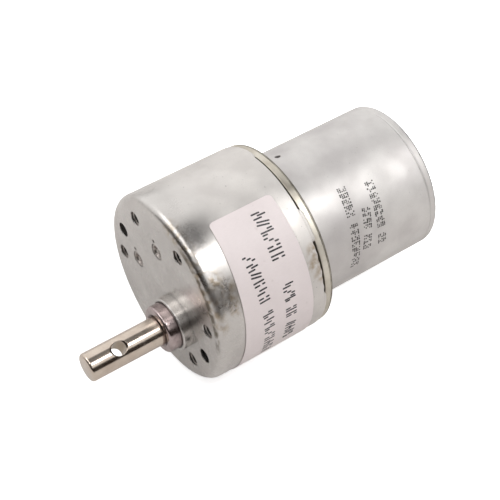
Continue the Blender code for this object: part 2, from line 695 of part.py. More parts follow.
def armature(finishes):
    """The motor shaft with its laminated core, coils, commutator and thrust washers."""
    shaft_front = MOTOR_PINION_SPAN[0]
    edge = 0.2
    shaft = [
        (shaft_front, 0.0),
        (shaft_front, MOTOR_SHAFT_RADIUS - edge),
        (shaft_front + edge, MOTOR_SHAFT_RADIUS),
        (MOTOR_SHAFT_BACK - edge, MOTOR_SHAFT_RADIUS),
        (MOTOR_SHAFT_BACK, MOTOR_SHAFT_RADIUS - edge),
        (MOTOR_SHAFT_BACK, 0.0),
    ]
    turned("motor_shaft", shaft, MOTOR_AXIS, finishes["polished_steel"])
    bore = MOTOR_SHAFT_RADIUS + SEAT_GAP
    core = extruded("armature_core", core_outline(), CORE_SPAN, MOTOR_AXIS, finishes["laminations"])
    drill(core, [hole_along(MOTOR_AXIS, *CORE_SPAN, bore)])
    segment_inner = COMMUTATOR_RADIUS - COMMUTATOR_SHEET
    sleeve = segment_inner - SEAT_GAP
    turned("commutator_hub", ring_profile(bore, sleeve, *COMMUTATOR_SPAN), MOTOR_AXIS,
           finishes["black_plastic"])
    margin = 0.2
    segment_span = (COMMUTATOR_SPAN[0] + margin, COMMUTATOR_SPAN[1] - margin)
    for pole in range(POLES):
        psi = 2 * math.pi * pole / POLES
        winding(f"winding_{pole + 1}", psi, finishes["copper_wire"])
        segment = sector_outline(segment_inner, COMMUTATOR_RADIUS, psi, SEGMENT_HALF_ANGLE, 8)
        extruded(f"commutator_segment_{pole + 1}", segment, segment_span, MOTOR_AXIS, finishes["copper"])
    for name, span in ARMATURE_WASHER_SPANS:
        washer = ring_profile(bore, ARMATURE_WASHER_RADIUS, *span)
        turned(f"armature_{name}_washer", washer, MOTOR_AXIS, finishes["black_plastic"])


def brush_gear(finishes):
    """Two carbon brushes on leaf springs, each riveted to a terminal that passes the end cap."""
    brush_low = (COMMUTATOR_RADIUS + SEAT_GAP, -BRUSH_HALF_WIDTH)
    brush_high = (BRUSH_OUTER, BRUSH_HALF_WIDTH)
    arm_inner = BRUSH_OUTER + SEAT_GAP
    arm_end = TERMINAL_LOW[1] - SEAT_GAP
    arm = [
        (arm_inner, -BRUSH_ARM_OVERHANG),
        (arm_inner, arm_end),
        (TERMINAL_HIGH[0], arm_end),
        (TERMINAL_HIGH[0], arm_end - BRUSH_LEAF),
        (arm_inner + BRUSH_LEAF, arm_end - BRUSH_LEAF),
        (arm_inner + BRUSH_LEAF, -BRUSH_ARM_OVERHANG),
    ]
    terminal_span = (BRUSH_ARM_SPAN[0], TERMINAL_BACK)
    middle = (TERMINAL_LOW[0] + TERMINAL_HIGH[0]) / 2
    eye_ends = [(middle, TERMINAL_LOW[1] - CUT_OVERRUN), (middle, TERMINAL_HIGH[1] + CUT_OVERRUN)]
    eye_y = TERMINAL_BACK - TERMINAL_EYE_SETBACK
    for number, psi in enumerate(BRUSH_PSIS, 1):
        brush = beside_brush(psi, rectangle(brush_low, brush_high))
        extruded(f"brush_{number}", brush, BRUSH_ARM_SPAN, MOTOR_AXIS, finishes["carbon"])
        extruded(f"brush_arm_{number}", beside_brush(psi, arm), BRUSH_ARM_SPAN, MOTOR_AXIS, finishes["brass"])
        blade = beside_brush(psi, rectangle(TERMINAL_LOW, TERMINAL_HIGH))
        terminal = extruded(f"terminal_{number}", blade, terminal_span, MOTOR_AXIS, finishes["brass"])
        start, end = [(x, eye_y, z) for x, z in beside_brush(psi, eye_ends)]
        drill(terminal, [(start, end, TERMINAL_EYE_RADIUS)])


def end_cap(finishes):
    """The moulded cap that carries the brushes and the rear bush, held by the rolled edge."""
    wall_front = END_CAP_BACK - END_CAP_WALL
    hub_back = CAN_BACK - 0.2
    hub_chamfer = 0.8
    pocket = MOTOR_BUSH_RADIUS + SEAT_GAP
    pocket_end = MOTOR_SHAFT_BACK + 0.1
    skirt_inner = END_CAP_RADIUS - END_CAP_SKIRT
    profile = [
        (pocket_end, 0.0),
        (pocket_end, pocket),
        (MOTOR_REAR_BUSH_FRONT, pocket),
        (MOTOR_REAR_BUSH_FRONT, END_CAP_HUB_RADIUS),
        (wall_front, END_CAP_HUB_RADIUS),
        (wall_front, skirt_inner),
        (END_CAP_SKIRT_FRONT, skirt_inner),
        (END_CAP_SKIRT_FRONT, END_CAP_RADIUS),
        (END_CAP_BACK, END_CAP_RADIUS),
        (END_CAP_BACK, END_CAP_HUB_RADIUS),
        (hub_back, END_CAP_HUB_RADIUS - hub_chamfer),
        (hub_back, 0.0),
    ]
    cap = turned("end_cap", profile, MOTOR_AXIS, finishes["black_plastic"])
    gap = SEAT_GAP * 2
    low = (TERMINAL_LOW[0] - gap, TERMINAL_LOW[1] - gap)
    high = (TERMINAL_HIGH[0] + gap, TERMINAL_HIGH[1] + gap)
    slot_span = (wall_front - CUT_OVERRUN, END_CAP_BACK + CUT_OVERRUN)
    for number, psi in enumerate(BRUSH_PSIS, 1):
        slot = beside_brush(psi, rectangle(low, high))
        cutter = extruded(f"end_cap_slot_{number}", slot, slot_span, MOTOR_AXIS, None)
        add_boolean(cap, cutter, "DIFFERENCE")


def label(finishes):
    """A paper label wrapped part of the way round the gearbox."""
    middle = sum(LABEL_PSIS) / 2
    half_angle = (LABEL_PSIS[1] - LABEL_PSIS[0]) / 2
    outline = sector_outline(LABEL_INNER, LABEL_INNER + LABEL_THICKNESS, middle, half_angle, 36)
    extruded("label", outline, LABEL_SPAN, MOTOR_AXIS, finishes["label_paper"])


def build_motor():
    """Builds the whole assembly."""
    for leftover in list(bpy.data.objects):
        bpy.data.objects.remove(leftover, do_unlink=True)
    finishes = make_finishes()
    gearbox_housing(finishes)
    gearbox_back_plate(finishes)
    idler_pins(finishes)
    gear_train(finishes)
    output_shaft(finishes)
    output_bushes(finishes)
    motor_screws(finishes)
    motor_can(finishes)
    motor_bushes(finishes)
    magnets(finishes)
    armature(finishes)
    brush_gear(finishes)
    end_cap(finishes)
    label(finishes)


build_motor()
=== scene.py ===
"""The looks of a geared DC motor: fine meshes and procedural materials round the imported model.

Sizes are in millimetres until a mesh is made. The motor's axis is Y, with the gearbox's face at
y = 0 and the shaft towards -Y. An angle psi, in degrees, is measured about Y from +Z towards +X.
"""

import json
import math
import random

import bmesh
import bpy
from mathutils import Matrix, Vector


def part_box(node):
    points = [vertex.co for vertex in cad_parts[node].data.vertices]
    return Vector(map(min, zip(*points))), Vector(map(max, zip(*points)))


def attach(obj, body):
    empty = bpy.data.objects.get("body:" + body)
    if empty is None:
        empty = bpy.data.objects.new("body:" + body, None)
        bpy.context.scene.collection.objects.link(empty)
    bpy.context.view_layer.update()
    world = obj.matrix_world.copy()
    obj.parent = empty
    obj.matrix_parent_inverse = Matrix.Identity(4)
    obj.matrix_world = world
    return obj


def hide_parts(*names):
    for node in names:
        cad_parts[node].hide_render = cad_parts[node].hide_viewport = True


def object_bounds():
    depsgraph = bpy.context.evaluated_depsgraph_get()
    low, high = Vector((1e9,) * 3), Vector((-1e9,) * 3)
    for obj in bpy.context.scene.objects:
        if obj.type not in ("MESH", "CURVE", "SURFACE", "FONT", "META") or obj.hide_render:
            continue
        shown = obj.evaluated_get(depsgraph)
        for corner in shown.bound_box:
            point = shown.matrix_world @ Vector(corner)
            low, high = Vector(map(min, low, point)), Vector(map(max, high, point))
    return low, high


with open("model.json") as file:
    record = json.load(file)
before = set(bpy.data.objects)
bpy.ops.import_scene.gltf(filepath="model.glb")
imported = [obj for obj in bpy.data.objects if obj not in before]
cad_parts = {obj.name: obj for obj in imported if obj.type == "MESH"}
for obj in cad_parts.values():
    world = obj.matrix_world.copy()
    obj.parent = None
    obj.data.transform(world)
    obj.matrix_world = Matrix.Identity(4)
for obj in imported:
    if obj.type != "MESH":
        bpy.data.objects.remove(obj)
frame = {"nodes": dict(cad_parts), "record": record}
cad_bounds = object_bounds()

MM = 0.001
ALONG = Vector((0.0, 1.0, 0.0))

# Steps round a turned piece
FINE = 256
MEDIUM = 128
COARSE = 64


def node_box(node):
    """A CAD node's lowest and highest corner, in millimetres."""
    low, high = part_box(node)
    return low / MM, high / MM


def node_axis(node):
    """The (x, z) of the axis of a CAD node turned about Y."""
    low, high = node_box(node)
    return (low.x + high.x) / 2, (low.z + high.z) / 2


def node_radius(node):
    """The radius of a CAD node turned about Y."""
    low, high = node_box(node)
    return (high.x - low.x) / 2


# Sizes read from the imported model
HOUSING_RADIUS = node_radius("gearbox_housing")
HOUSING_BACK = node_box("gearbox_housing")[1].y
COLLAR_FRONT = node_box("gearbox_housing")[0].y
PLATE_RADIUS = node_radius("gearbox_back_plate")
PLATE_FRONT = node_box("gearbox_back_plate")[0].y
PLATE_BACK = node_box("gearbox_back_plate")[1].y
CAN_RADIUS = node_radius("motor_can")
HUB_FRONT = node_box("motor_can")[0].y
CAN_BACK = node_box("motor_can")[1].y
SHAFT_AXIS = node_axis("output_bush")
SHAFT_TIP = node_box("output_shaft")[0].y
SHAFT_BACK = node_box("output_shaft")[1].y
BUSH_RADIUS = node_radius("output_bush")
BUSH_FRONT = node_box("output_bush")[0].y
BUSH_BACK = node_box("output_bush")[1].y
PIN_AXES = (node_axis("idler_pin_1"), node_axis("idler_pin_2"))
REAR_BUSH_RADIUS = node_radius("output_rear_bush")
MOTOR_BUSH_RADIUS = node_radius("motor_front_bush")
SCREW_AXES = (node_axis("motor_screw_1"), node_axis("motor_screw_2"))
CAP_RADIUS = node_radius("end_cap")
CAP_FRONT = node_box("end_cap")[0].y
TERMINAL_FRONT = node_box("terminal_1")[0].y
TERMINAL_BACK = node_box("terminal_1")[1].y

# Sizes that the boxes don't give, the same as in the CAD
SEAT_GAP = 0.05
RUNNING_GAP = 0.03
FACE_THICKNESS = 1.5
HOUSING_WALL = 1.0
FACE_FILLET = 1.8
COLLAR_RADIUS = 5.7
SHAFT_RADIUS = 3.0
JOURNAL_RADIUS = 1.5
JOURNAL_START = 12.0
GROOVE_RADIUS = 2.6
GROOVE_SPAN = (9.8, 10.5)
CROSS_HOLE_Y = -14.4
CROSS_HOLE_PSI = 26.0
CROSS_HOLE_RADIUS = 1.5
HOLE_CIRCLE = 15.5
SCREW_HOLES = 6
FIRST_SCREW_PSI = -98.0
SCREW_HOLE_RADIUS = 1.5
LOCATING_HOLE_RADIUS = 1.55
LOCATING_HOLE_PSIS = (-72.0, 115.3)
PIN_HEAD_RADIUS = 1.7
PIN_RADIUS = 1.25
SCREW_RADIUS = 1.2
RIM_GAP = 0.3
PLATE_RIM_FRONT = HOUSING_BACK + RIM_GAP
CAN_FRONT = PLATE_BACK + SEAT_GAP
CAN_WALL = 1.0
CAN_LIP_RADIUS = 13.6
CAN_LIP_FRONT = 56.0
HUB_RADIUS = 2.85
HUB_BACK = 29.0
VENT_Y = 31.6
VENT_PSI = -19.6
VENT_RADIUS = 0.6
FIRST_STAKE_PSI = 32.5
TERMINAL_PSIS = (77.5, 257.5)
TERMINAL_OUT = (5.6, 8.4)
TERMINAL_SIDE = (8.1, 8.6)

# The radius of the flat disc that closes a turned solid where it meets its axis
CORE_RADIUS = 0.5

# The stretches of the gearbox's rim that are crimped: (start, end) in degrees
CRIMP_SPANS = ((32.0, 52.0), (86.0, 150.0), (185.0, 225.0), (300.0, 349.0))


# ---------------------------------------------------------------- mesh helpers


def on_circle(radius, psi, axis=(0.0, 0.0)):
    """The (x, z) of a point at a radius and an angle in degrees about an axis."""
    angle = math.radians(psi)
    return axis[0] + radius * math.sin(angle), axis[1] + radius * math.cos(angle)


def away_from_axis(psi):
    """The unit vector straight away from the motor's axis at an angle in degrees."""
    x, z = on_circle(1.0, psi)
    return Vector((x, 0.0, z))


def rounded(corners, steps=4):
    """An outline of (first, second, fillet) corners with every fillet drawn as an arc."""
    points = []
    count = len(corners)
    for i, (first, second, fillet) in enumerate(corners):
        here = Vector((first, second))
        if not fillet:
            points.append(tuple(here))
            continue
        before = (Vector(corners[i - 1][:2]) - here).normalized()
        after = (Vector(corners[(i + 1) % count][:2]) - here).normalized()
        half = before.angle(after) / 2
        reach = fillet / math.tan(half)
        centre = here + (before + after).normalized() * (fillet / math.sin(half))
        start = here + before * reach - centre
        end = here + after * reach - centre
        sweep = start.angle(end)
        for step in range(steps + 1):
            part = step / steps
            arm = start * math.sin((1 - part) * sweep) + end * math.sin(part * sweep)
            points.append(tuple(centre + arm / math.sin(sweep)))
    return points


def new_object(name, bm):
    """Turns a bmesh in millimetres into an object in metres, with its faces pointing out."""
    bmesh.ops.recalc_face_normals(bm, faces=bm.faces)
    bmesh.ops.scale(bm, vec=(MM, MM, MM), verts=bm.verts)
    mesh = bpy.data.meshes.new(name)
    bm.to_mesh(mesh)
    bm.free()
    piece = bpy.data.objects.new(name, mesh)
    bpy.context.scene.collection.objects.link(piece)
    return piece


def join_rings(bm, rings):
    """Adds the faces between each closed ring of vertices and the next."""
    for ring, following in zip(rings, rings[1:]):
        for i in range(len(ring)):
            j = (i + 1) % len(ring)
            bm.faces.new((ring[i], ring[j], following[j], following[i]))


def loft(bm, rings):
    """Adds the faces of a solid: between its rings, and over the first and the last."""
    join_rings(bm, rings)
    bm.faces.new(rings[0])
    bm.faces.new(rings[-1])


def turned(name, profile, axis=(0.0, 0.0), steps=FINE, solid=False, warp=None):
    """A body turned about Y from (y, radius) points: a closed ring, or a solid with flat ends.

    warp, if given, moves a point (y, radius, psi) to a new (y, radius)."""
    bm = bmesh.new()
    rings = []
    for y, radius in profile:
        ring = []
        for step in range(steps):
            psi = 360.0 * step / steps
            height, reach = warp(y, radius, psi) if warp else (y, radius)
            x, z = on_circle(reach, psi, axis)
            ring.append(bm.verts.new((x, height, z)))
        rings.append(ring)
    if solid:
        loft(bm, rings)
    else:
        join_rings(bm, rings + rings[:1])
    return new_object(name, bm)


def extruded(name, outline, span):
    """A prism along Y over an outline of (x, z) points."""
    bm = bmesh.new()
    face = bm.faces.new([bm.verts.new((x, span[0], z)) for x, z in outline])
    grown = bmesh.ops.extrude_face_region(bm, geom=[face])["geom"]
    moved = [item for item in grown if isinstance(item, bmesh.types.BMVert)]
    bmesh.ops.translate(bm, vec=(0.0, span[1] - span[0], 0.0), verts=moved)
    return new_object(name, bm)


def combine(piece, other, operation):
    """Joins another object to a piece, or cuts it away, and removes the other object."""
    modifier = piece.modifiers.new("combine", "BOOLEAN")
    modifier.object = other
    modifier.operation = operation
    modifier.solver = "EXACT"
    graph = bpy.context.evaluated_depsgraph_get()
    mesh = bpy.data.meshes.new_from_object(piece.evaluated_get(graph))
    piece.modifiers.clear()
    piece.data = mesh
    bpy.data.objects.remove(other)


def bore(piece, axis, span, radius, chamfer=0.0, steps=COARSE):
    """Bores a hole along Y, with a chamfer at its front mouth."""
    front, back = span
    beyond = 1.0
    profile = [(back + beyond, radius), (front + chamfer, radius)]
    if chamfer:
        profile.append((front, radius + chamfer))
    profile.append((front - beyond, radius + chamfer))
    combine(piece, turned("hole", profile, axis, steps, solid=True), "DIFFERENCE")


def aimed(outward):
    """A rotation that turns +Y to a direction across the Y axis, and +Z to +Y."""
    return Matrix((outward.cross(ALONG), outward, ALONG)).transposed().to_4x4()


def place_mesh(piece, rotation, place):
    """Turns and moves a helper's mesh, in millimetres, before it is used."""
    piece.data.transform(Matrix.Translation(Vector(place) * MM) @ rotation)


def show(piece, material, body, replaced=(), sharp=35.0):
    """Shades a piece, gives it its material and its body, and hides the CAD nodes that it stands for."""
    piece.data.materials.clear()
    piece.data.materials.append(material)
    piece.data.shade_smooth()
    piece.data.set_sharp_from_angle(angle=math.radians(sharp))
    weighted = piece.modifiers.new("weighted_normals", "WEIGHTED_NORMAL")
    weighted.keep_sharp = True
    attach(piece, body)
    if replaced:
        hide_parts(*replaced)


# ---------------------------------------------------------------- materials


def set_inputs(tree, node, inputs):
    """Sets a node's inputs, by name or number, to values, or links them to sockets."""
    for key, value in inputs.items():
        if isinstance(value, bpy.types.NodeSocket):
            tree.links.new(value, node.inputs[key])
        else:
            node.inputs[key].default_value = value


def add_node(tree, kind, inputs=None, **settings):
    """Adds a shader node with these settings and inputs."""
    node = tree.nodes.new(kind)
    for key, value in settings.items():
        setattr(node, key, value)
    set_inputs(tree, node, inputs or {})
    return node


def own_coordinates(tree):
    """The surface's place in its object's own coordinates, in metres."""
    return add_node(tree, "ShaderNodeTexCoord").outputs["Object"]


def noise(tree, size, stretch=(1.0, 1.0, 1.0), detail=3.0, offset=0.0):
    """Noise with lumps about this many millimetres across, drawn out by stretch. Each use of it in
    a material has its own offset, so that they don't follow each other."""
    scale = [1 / (MM * size * factor) for factor in stretch]
    mapped = add_node(tree, "ShaderNodeMapping", {
        "Vector": own_coordinates(tree), "Scale": scale, "Location": (offset, offset, offset)})
    found = add_node(tree, "ShaderNodeTexNoise", {
        "Vector": mapped.outputs["Vector"], "Scale": 1.0, "Detail": detail})
    return found.outputs["Fac"]


def spread(tree, value, low, high, to_low=0.0, to_high=1.0):
    """Maps a value from one range to another, without going past the ends."""
    node = add_node(tree, "ShaderNodeMapRange", {
        "Value": value, "From Min": low, "From Max": high, "To Min": to_low, "To Max": to_high})
    return node.outputs["Result"]


def calculate(tree, operation, first, second=0.0):
    """One step of arithmetic."""
    return add_node(tree, "ShaderNodeMath", {0: first, 1: second}, operation=operation).outputs["Value"]


def product(tree, first, second):
    """Two values or sockets multiplied."""
    return calculate(tree, "MULTIPLY", first, second)


def vector_step(tree, operation, output, *inputs):
    """One step of arithmetic on vectors."""
    node = add_node(tree, "ShaderNodeVectorMath", dict(enumerate(inputs)), operation=operation)
    return node.outputs[output]


def mixed(tree, factor, first, second):
    """A colour between two colours."""
    def rgba(colour):
        return colour if isinstance(colour, bpy.types.NodeSocket) else (*colour, 1.0)
    node = add_node(tree, "ShaderNodeMix", {"Factor": factor, 6: rgba(first), 7: rgba(second)},
                    data_type="RGBA")
    return node.outputs[2]


def corner_mask(tree, reach):
    """Near 1 in corners and crevices, 0 in the open."""
    node = add_node(tree, "ShaderNodeAmbientOcclusion", {"Distance": reach * MM}, samples=4)
    return spread(tree, node.outputs["AO"], 1.0, 0.35)


def soft_normal(tree, radius):
    """The surface normal with its sharp edges rounded."""
    return add_node(tree, "ShaderNodeBevel", {"Radius": radius * MM}, samples=4).outputs["Normal"]


def edge_mask(tree, radius):
    """Near 1 on edges, 0 on open faces."""
    flat = add_node(tree, "ShaderNodeNewGeometry").outputs["Normal"]
    likeness = vector_step(tree, "DOT_PRODUCT", "Value", soft_normal(tree, radius), flat)
    return spread(tree, likeness, 0.99, 0.86)


def raised(tree, height, depth, normal):
    """A normal bumped by a height field, depth in millimetres."""
    node = add_node(tree, "ShaderNodeBump", {
        "Height": height, "Distance": depth * MM, "Strength": 1.0, "Normal": normal})
    return node.outputs["Normal"]


def new_material(name):
    """An empty Principled material: (material, its node tree, its shader)."""
    material = bpy.data.materials.new(name)
    material.use_nodes = True
    tree = material.node_tree
    return material, tree, tree.nodes["Principled BSDF"]


def height_along_axis(tree):
    """The object's own Y."""
    return add_node(tree, "ShaderNodeSeparateXYZ", {"Vector": own_coordinates(tree)}).outputs["Y"]


def near(tree, places, reach):
    """1 close to any of some places, fading to 0 further off. reach is (far, close)."""
    far, close = reach
    where = own_coordinates(tree)
    found = 0.0
    for place in places:
        gap = vector_step(tree, "DISTANCE", "Value", where, Vector(place) * MM)
        found = calculate(tree, "MAXIMUM", found, spread(tree, gap, far * MM, close * MM))
    return found


def near_ring(tree, radius, y, reach):
    """1 close to a circle round the motor's axis, fading to 0 further off. reach is (far, close)."""
    far, close = reach
    across = vector_step(tree, "MULTIPLY", "Vector", own_coordinates(tree), (1.0, 0.0, 1.0))
    from_axis = vector_step(tree, "LENGTH", "Value", across)
    section = add_node(tree, "ShaderNodeCombineXYZ", {"X": from_axis, "Y": height_along_axis(tree)})
    ring = (radius * MM, y * MM, 0.0)
    gap = vector_step(tree, "DISTANCE", "Value", section.outputs["Vector"], ring)
    return spread(tree, gap, far * MM, close * MM)


def stain_and_shade_cover(tree, places, reach, cover):
    """Patches close to some places, where a noise is over the range that cover gives."""
    patches = spread(tree, noise(tree, 1.3, detail=5.0, offset=41.0), *cover, 0.0, 0.9)
    return product(tree, near(tree, places, reach), patches)


def crease_and_reflection_cover(tree, radius, y, reach, place, span):
    """A broken line along a circle round the motor's axis, where it is within span of one place."""
    broken = spread(tree, noise(tree, 1.8, detail=4.0, offset=29.0), 0.36, 0.52, 0.1, 0.95)
    line = product(tree, near_ring(tree, radius, y, reach), broken)
    return product(tree, line, near(tree, [place], span))


def rim_shade_cover(tree, front, back):
    """A band round the motor's axis from y = front to y = back, with a ragged front edge."""
    fade = 0.1 * MM
    ragged = product(tree, noise(tree, 1.5, offset=17.0), 4 * fade)
    height = calculate(tree, "ADD", height_along_axis(tree), ragged)
    start = spread(tree, height, front * MM + fade, front * MM + 3 * fade)
    end = spread(tree, height_along_axis(tree), back * MM - fade, back * MM, 1.0, 0.0)
    return product(tree, start, end)


def scaled(tone, factor):
    """A darker or lighter tone."""
    return tuple(min(1.0, factor * level) for level in tone)


def metal(name, tones, roughness, patch=7.0, grain=(0.12, (1.0, 1.0, 1.0)), grain_depth=0.002,
          dents=0.0, wear=0.5, painted_corner_shade=0.5, specks=0.0, burnished=None, stain_and_painted_shade=None, crease_and_painted_reflection=None,
          painted_rim_shade=None):
    """A metal of two mottled tones, with grain, shallow dents, bright edges and painted shade in its
    corners.

    burnished, if given, is (front, back, drop, shade): how much smoother and darker the metal is
    ahead of y = front, fading out by y = back. stain_and_painted_shade is a tone and what
    stain_and_shade_cover takes: brown stains, partly painted shade and painted dark reflection.
    crease_and_painted_reflection is a tone and what crease_and_reflection_cover takes: a shallow
    crease with a painted dark reflection along it. painted_rim_shade is what rim_shade_cover takes:
    a ragged band of painted shade at a rim."""
    material, tree, shader = new_material(name)
    dark = scaled(tones[1], 0.35)
    bright = scaled(tones[0], 1.3)
    mottle = spread(tree, noise(tree, patch, detail=4.0), 0.35, 0.65)
    fine = noise(tree, *grain, detail=2.0, offset=3.0)
    smudge = noise(tree, patch * 0.6, detail=5.0, offset=11.0)
    corner = corner_mask(tree, 0.9)
    edge = product(tree, edge_mask(tree, 0.18), spread(tree, smudge, 0.3, 0.6, 0.4, 1.0))
    edge = product(tree, edge, calculate(tree, "SUBTRACT", 1.0, corner))

    colour = mixed(tree, mottle, *tones)
    colour = mixed(tree, spread(tree, fine, 0.3, 0.7, 0.0, 0.25), colour, tones[1])
    rough = spread(tree, smudge, 0.3, 0.7, *roughness)
    rough = calculate(tree, "ADD", rough, spread(tree, fine, 0.3, 0.7, -0.04, 0.04))
    normal = soft_normal(tree, 0.08)
    if dents:
        normal = raised(tree, noise(tree, 9.0, detail=1.0, offset=5.0), dents, normal)
    if specks:
        spots = spread(tree, noise(tree, 0.5, detail=1.0, offset=23.0), 0.74, 0.8, 0.0, specks)
        colour = mixed(tree, spots, colour, dark)
    # Brown stains with pits, partly painted shade and painted reflection.
    if stain_and_painted_shade:
        tone, *where = stain_and_painted_shade
        cover = stain_and_shade_cover(tree, *where)
        colour = mixed(tree, cover, colour, tone)
        normal = raised(tree, cover, 0.03, normal)
    # A shallow crease, with a painted dark reflection along it.
    if crease_and_painted_reflection:
        tone, *where = crease_and_painted_reflection
        cover = crease_and_reflection_cover(tree, *where)
        colour = mixed(tree, cover, colour, tone)
        normal = raised(tree, cover, -0.05, normal)
    # Painted shade: darker in corners and crevices, where shade falls.
    colour = mixed(tree, product(tree, corner, painted_corner_shade), colour, dark)
    colour = mixed(tree, product(tree, edge, wear), colour, bright)
    # Painted shade: a ragged dark band at a rim, where the rim turns away from the light.
    if painted_rim_shade:
        colour = mixed(tree, rim_shade_cover(tree, *painted_rim_shade), colour, dark)
    if burnished:
        front, back, drop, shade = burnished
        gloss = spread(tree, height_along_axis(tree), front * MM, back * MM, 1.0, 0.0)
        rough = calculate(tree, "SUBTRACT", rough, product(tree, gloss, drop))
        colour = mixed(tree, product(tree, gloss, shade), colour, dark)
    normal = raised(tree, fine, grain_depth, normal)
    set_inputs(tree, shader, {
        "Base Color": colour, "Metallic": 1.0, "Roughness": rough, "Normal": normal})
    return material


def moulded(name, tones, roughness):
    """A non-metal with a fine grain, such as moulded plastic, ferrite or carbon."""
    material, tree, shader = new_material(name)
    cloud = noise(tree, 4.0, detail=4.0)
    fine = noise(tree, 0.35, offset=7.0)
    colour = mixed(tree, spread(tree, cloud, 0.35, 0.65), *tones)
    edge = product(tree, edge_mask(tree, 0.15), spread(tree, cloud, 0.4, 0.6, 0.1, 0.5))
    colour = mixed(tree, edge, colour, tuple(min(1.0, 2.2 * level + 0.02) for level in tones[0]))
    set_inputs(tree, shader, {
        "Base Color": colour, "Roughness": spread(tree, fine, 0.3, 0.7, *roughness),
        "Normal": raised(tree, fine, 0.006, soft_normal(tree, 0.08))})
    return material


def paper(name):
    """Coated label paper: faint fibres, a few stains and a soft sheen."""
    material, tree, shader = new_material(name)
    cloud = noise(tree, 6.0)
    fibre = noise(tree, 0.25, (1.0, 3.0, 1.0), offset=4.0)
    colour = mixed(tree, spread(tree, cloud, 0.3, 0.7), (0.80, 0.72, 0.715), (0.755, 0.68, 0.675))
    colour = mixed(tree, spread(tree, fibre, 0.3, 0.7, 0.0, 0.2), colour, (0.68, 0.61, 0.595))
    stain = spread(tree, noise(tree, 1.6, detail=2.0, offset=31.0), 0.7, 0.8, 0.0, 0.35)
    colour = mixed(tree, stain, colour, (0.52, 0.44, 0.42))
    colour = mixed(tree, product(tree, edge_mask(tree, 0.12), 0.5), colour, (0.5, 0.44, 0.42))
    normal = raised(tree, fibre, 0.004, soft_normal(tree, 0.03))
    normal = raised(tree, noise(tree, 5.0, detail=1.0, offset=9.0), 0.05, normal)
    set_inputs(tree, shader, {
        "Base Color": colour, "Roughness": spread(tree, fibre, 0.3, 0.7, 0.42, 0.55), "Normal": normal})
    return material


def ink(name, dark, faded):
    """Printed ink that is thin in places."""
    material, tree, shader = new_material(name)
    thin = spread(tree, noise(tree, 0.7, detail=4.0), 0.42, 0.62)
    set_inputs(tree, shader, {
        "Base Color": mixed(tree, thin, dark, faded),
        "Roughness": spread(tree, thin, 0.0, 1.0, 0.35, 0.6)})
    return material


def on_housing(radius, places):
    """Points at a radius from the motor's axis, given as (psi, y)."""
    return [away_from_axis(psi) * radius + Vector((0.0, y, 0.0)) for psi, y in places]


# Grain drawn out round the axis, as grinding leaves it
ROUND_GRAIN = (1.0, 0.12, 1.0)

# A brown tone along the face's fillet, just behind it, and at the rim: partly real stains with pits, and
# partly painted shade along the fillet and a painted dark reflection on the flank
STAIN_AND_SHADE_TONE = (0.43, 0.345, 0.245)
STAIN_AND_SHADE_PLACES = [
    *on_housing(HOUSING_RADIUS - 0.8, [(psi, 0.6) for psi in range(8, 80, 8)]),
    *on_housing(HOUSING_RADIUS, [(46, 2.8), (52, 4.6), (58, 4.2), (64, 4.8)]),
    *on_housing(HOUSING_RADIUS, [(57, 24.2), (64, 23.6), (71, 24.6)]),
]

# A shallow crease along the start of the face's fillet, with a painted dark reflection along it
CREASE_REFLECTION_TONE = (0.10, 0.078, 0.05)
CREASE_AND_REFLECTION_RADIUS = HOUSING_RADIUS - FACE_FILLET + 0.35
CREASE_AND_REFLECTION_PLACE = on_housing(HOUSING_RADIUS - FACE_FILLET, [(56, 0.0)])[0]

# Painted shade: the shaft's cross hole is browner and darker inside
CROSS_HOLE_SHADE = (0.30, 0.225, 0.14)
CROSS_HOLE_CENTRE = (SHAFT_AXIS[0], CROSS_HOLE_Y, SHAFT_AXIS[1])

